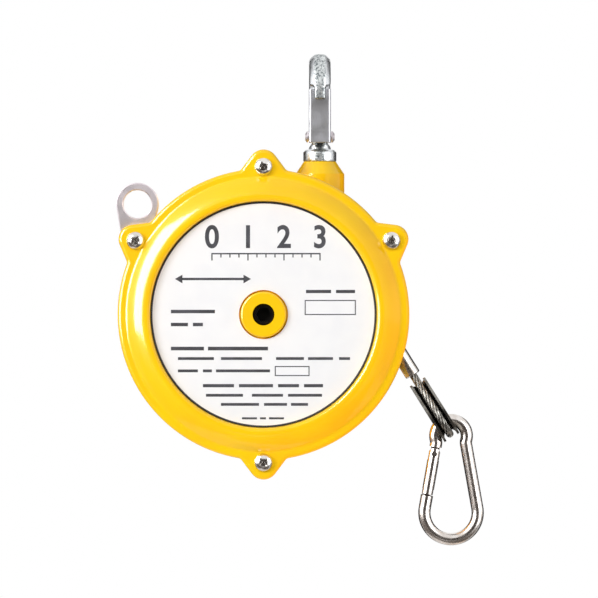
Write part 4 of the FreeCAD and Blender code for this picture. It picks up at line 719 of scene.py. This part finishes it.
# %% Scale, arrow, bars and boxes
SCALE_LEFT, SCALE_STEP, LAST_NUMBER = 212.0, 36.0, 3
NUMBER_MIDDLE, NUMBER_HEIGHT = 238, 22
TICK_TOP, LONG_TICK, SHORT_TICK, TICK_HALF = 254, 260.5, 257.5, 0.6
ARROW_LEFT, ARROW_RIGHT, ARROW_MIDDLE = 180, 246, 279
ARROW_HALF, ARROW_TIP, TIP_INSIDE = 1.2, 5, 2
WORD_LINES = [
    (311.5, 3.4, [(171, 215)]),
    (324.5, 3.4, [(171, 188), (193, 203)]),
    (291.5, 3.2, [(306, 331), (336, 355)]),
    (348.5, 3.6, [(171, 204), (208, 268)]),
    (358.5, 2.8, [(178, 214), (221, 262), (276, 304), (308, 333), (339, 350)]),
    (370.8, 2.8, [(178, 198), (203, 212), (216, 270)]),
    (385.6, 3.2, [(203, 234), (239, 273), (278, 299), (304, 323)]),
    (395.2, 2.8, [(206, 243), (252, 283), (288, 322)]),
    (404.3, 2.8, [(221, 259), (264, 287), (291, 308)]),
    (418.2, 2.0, [(242, 257), (260, 266), (269, 284)]),
]
sketch = bmesh.new()
for number in range(LAST_NUMBER + 1):
    x = SCALE_LEFT + SCALE_STEP * number
    add_number(sketch, str(number), x, NUMBER_MIDDLE, NUMBER_HEIGHT)
for tick in range(4 * LAST_NUMBER + 1):
    x = SCALE_LEFT + SCALE_STEP * tick / 4
    foot = SHORT_TICK if tick % 4 else LONG_TICK
    add_bar(sketch, x - TICK_HALF, TICK_TOP, x + TICK_HALF, foot)
scale_right = SCALE_LEFT + LAST_NUMBER * SCALE_STEP
add_bar(sketch, SCALE_LEFT - TICK_HALF, TICK_TOP - 1, scale_right + TICK_HALF, TICK_TOP + 0.4)
shaft_left, shaft_right = ARROW_LEFT + TIP_INSIDE, ARROW_RIGHT - TIP_INSIDE
add_bar(sketch, shaft_left, ARROW_MIDDLE - ARROW_HALF, shaft_right, ARROW_MIDDLE + ARROW_HALF)
add_tip(sketch, ARROW_LEFT, ARROW_MIDDLE, ARROW_TIP, 90)
add_tip(sketch, ARROW_RIGHT, ARROW_MIDDLE, ARROW_TIP, -90)
for y, height, words in WORD_LINES:
    for x0, x1 in words:
        add_bar(sketch, x0, y - height / 2, x1, y + height / 2)
add_box(sketch, 304.7, 300, 355.8, 315)
add_box(sketch, 274.8, 366, 309.5, 376)
print_piece = shape_of("label_print", sketch, "label_sheet", ink="label_ink")
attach(print_piece, "housing")

# %% [markdown]
# The light is that of a small studio. A soft box on the left and one in front light the shapes, a
# warm lamp low on the right turns the shaded yellow to orange, and one behind lights the back. A
# panel on each side is seen only in reflections and draws the bright bands along polished bars. A
# glossy enamel mirrors a lamp far more weakly than bare metal does, so the lamp whose glare lies
# along the ring shines on the enamelled pieces alone, and the panel on the right on all the others.


# %% Light
def soft_box(name, place, size, power, colour=(1, 1, 1), lights=True, mirrored=True):
    """An area lamp that faces the aim, at a place measured from there."""
    lamp = bpy.data.lights.new(name, "AREA")
    lamp.shape = "RECTANGLE"
    lamp.size, lamp.size_y = size
    lamp.energy, lamp.color = power, colour
    thing = placed(name, lamp)
    thing.location = aim + Vector(place)
    thing.rotation_euler = Vector(place).to_track_quat("Z", "Y").to_euler()
    thing.visible_camera, thing.visible_diffuse, thing.visible_glossy = False, lights, mirrored
    return thing


soft_box("key_left", (-1.25, -1.0, 0.4), (0.6, 0.6), 15, mirrored=False)
soft_box("front", (-0.2, -1.8, 1.1), (0.6, 0.6), 12, mirrored=False)
soft_box("warm_right", (1.0, 0.05, -0.8), (0.5, 0.5), 12, (1.0, 0.5, 0.15), mirrored=False)
soft_box("behind", (-0.6, 1.9, 0.9), (0.8, 0.8), 12, mirrored=False)
soft_box("panel_left", (-1.16, -0.78, 0.44), (1.1, 1.35), 20, lights=False)
panel_right = soft_box("panel_right", (1.0, -0.8, 0.1), (0.9, 1.2), 10, lights=False)
glare = soft_box("glare_left", (-1.10, -0.74, 0.42), (1.05, 1.3), 100, lights=False)

# %% Who mirrors which lamp
enamelled, bare = bpy.data.collections.new("enamelled"), bpy.data.collections.new("bare")
for thing in bpy.data.objects:
    if thing.type == "MESH":
        group = enamelled if finishes["case_paint"] in list(thing.data.materials) else bare
        group.objects.link(thing)
glare.light_linking.receiver_collection = enamelled
panel_right.light_linking.receiver_collection = bare

# %% [markdown]
# The sky is full white to the camera, in reflections and through anything clear, and gives only a
# part of that as light, so that it doesn't wash out the shapes.

# %% World
FILL = 0.45
world = bpy.data.worlds.new("studio")
world.use_nodes = True
world.node_tree.nodes.clear()
tree = Wire(world.node_tree)
camera_ray = tree.node("LightPath", out=0)
glossy_ray = tree.node("LightPath", out=3)
through_ray = tree.node("LightPath", out=6)
seen = camera_ray.maths("MAXIMUM", camera_ray, glossy_ray)
seen = seen.maths("MAXIMUM", seen, through_ray)
sky = tree.node("Background", {"Color": (1, 1, 1, 1), "Strength": seen * (1 - FILL) + FILL})
tree.node("OutputWorld", {"Surface": sky})
bpy.context.scene.world = world

# %% [markdown]
# The floor is pale and keeps a trace of the object's soft shadow. To the camera it is nearly as
# white as the sky, so the background is white from every side. The cards stand round the object as
# in a studio for metal. They are seen only in reflections and give polished bars their dark edges.


# %% Floor and cards
def board(name, size, place, turn, material):
    """A flat sheet of the studio, facing along its own Z axis after the turn."""
    sheet = bmesh.new()
    bmesh.ops.create_grid(sheet, x_segments=1, y_segments=1, size=0.5)
    bmesh.ops.scale(sheet, vec=(*size, 1), verts=sheet.verts)
    bmesh.ops.transform(sheet, matrix=Matrix.Translation(place) @ turn, verts=sheet.verts)
    mesh = mesh_of(name, sheet)
    mesh.materials.append(material)
    thing = placed(name, mesh)
    return thing


def card(name, size, place, red, green, blue):
    """A card that faces the aim and shows in reflections with this linear colour."""
    material, tree, where = new_material(name)
    glow = tree.node("Emission", {"Color": (red, green, blue, 1)})
    tree.node("OutputMaterial", {"Surface": glow})
    turn = Vector(place).to_track_quat("Z", "Y").to_matrix().to_4x4()
    thing = board(name, size, aim + Vector(place), turn, material)
    thing.visible_camera = thing.visible_diffuse = thing.visible_shadow = False


FLOOR_SIZE, FLOOR_BELOW = 36, 1.25
WHITE_TO_CAMERA = 0.96
material, tree, where = new_material("floor")
mottle = noise(tree, where, 120.0).between(0.3, 0.7)
values = {"Base Color": mottle.colour(rgb(246, 246, 245), rgb(242, 242, 241)), "Roughness": 0.8}
lit = tree.node("BsdfPrincipled", values)
white = tree.node("Emission", {"Color": (1, 1, 1, 1)})
seen = tree.node("LightPath", out=0)
surface = tree.node("MixShader", {0: seen * WHITE_TO_CAMERA, 1: lit, 2: white})
tree.node("OutputMaterial", {"Surface": surface})
board("floor", (FLOOR_SIZE, FLOOR_SIZE), (0, 0, -FLOOR_BELOW), Matrix.Identity(4), material)
card("card_left", (1.5, 2.4), (-1.0, 1.0, -0.1), 0.006, 0.006, 0.006)
card("card_right", (1.5, 2.4), (1.0, 1.0, -0.1), 0.006, 0.006, 0.006)
card("card_camera", (2.6, 2.2), (0, -2.6, -0.2), 0.05, 0.04, 0.033)
card("card_low", (1.6, 1.5), (-0.8, -0.65, -0.8), 0.16, 0.135, 0.12)
card("card_under", (1.2, 1.3), (0.35, -0.45, -0.95), 0.14, 0.12, 0.105)
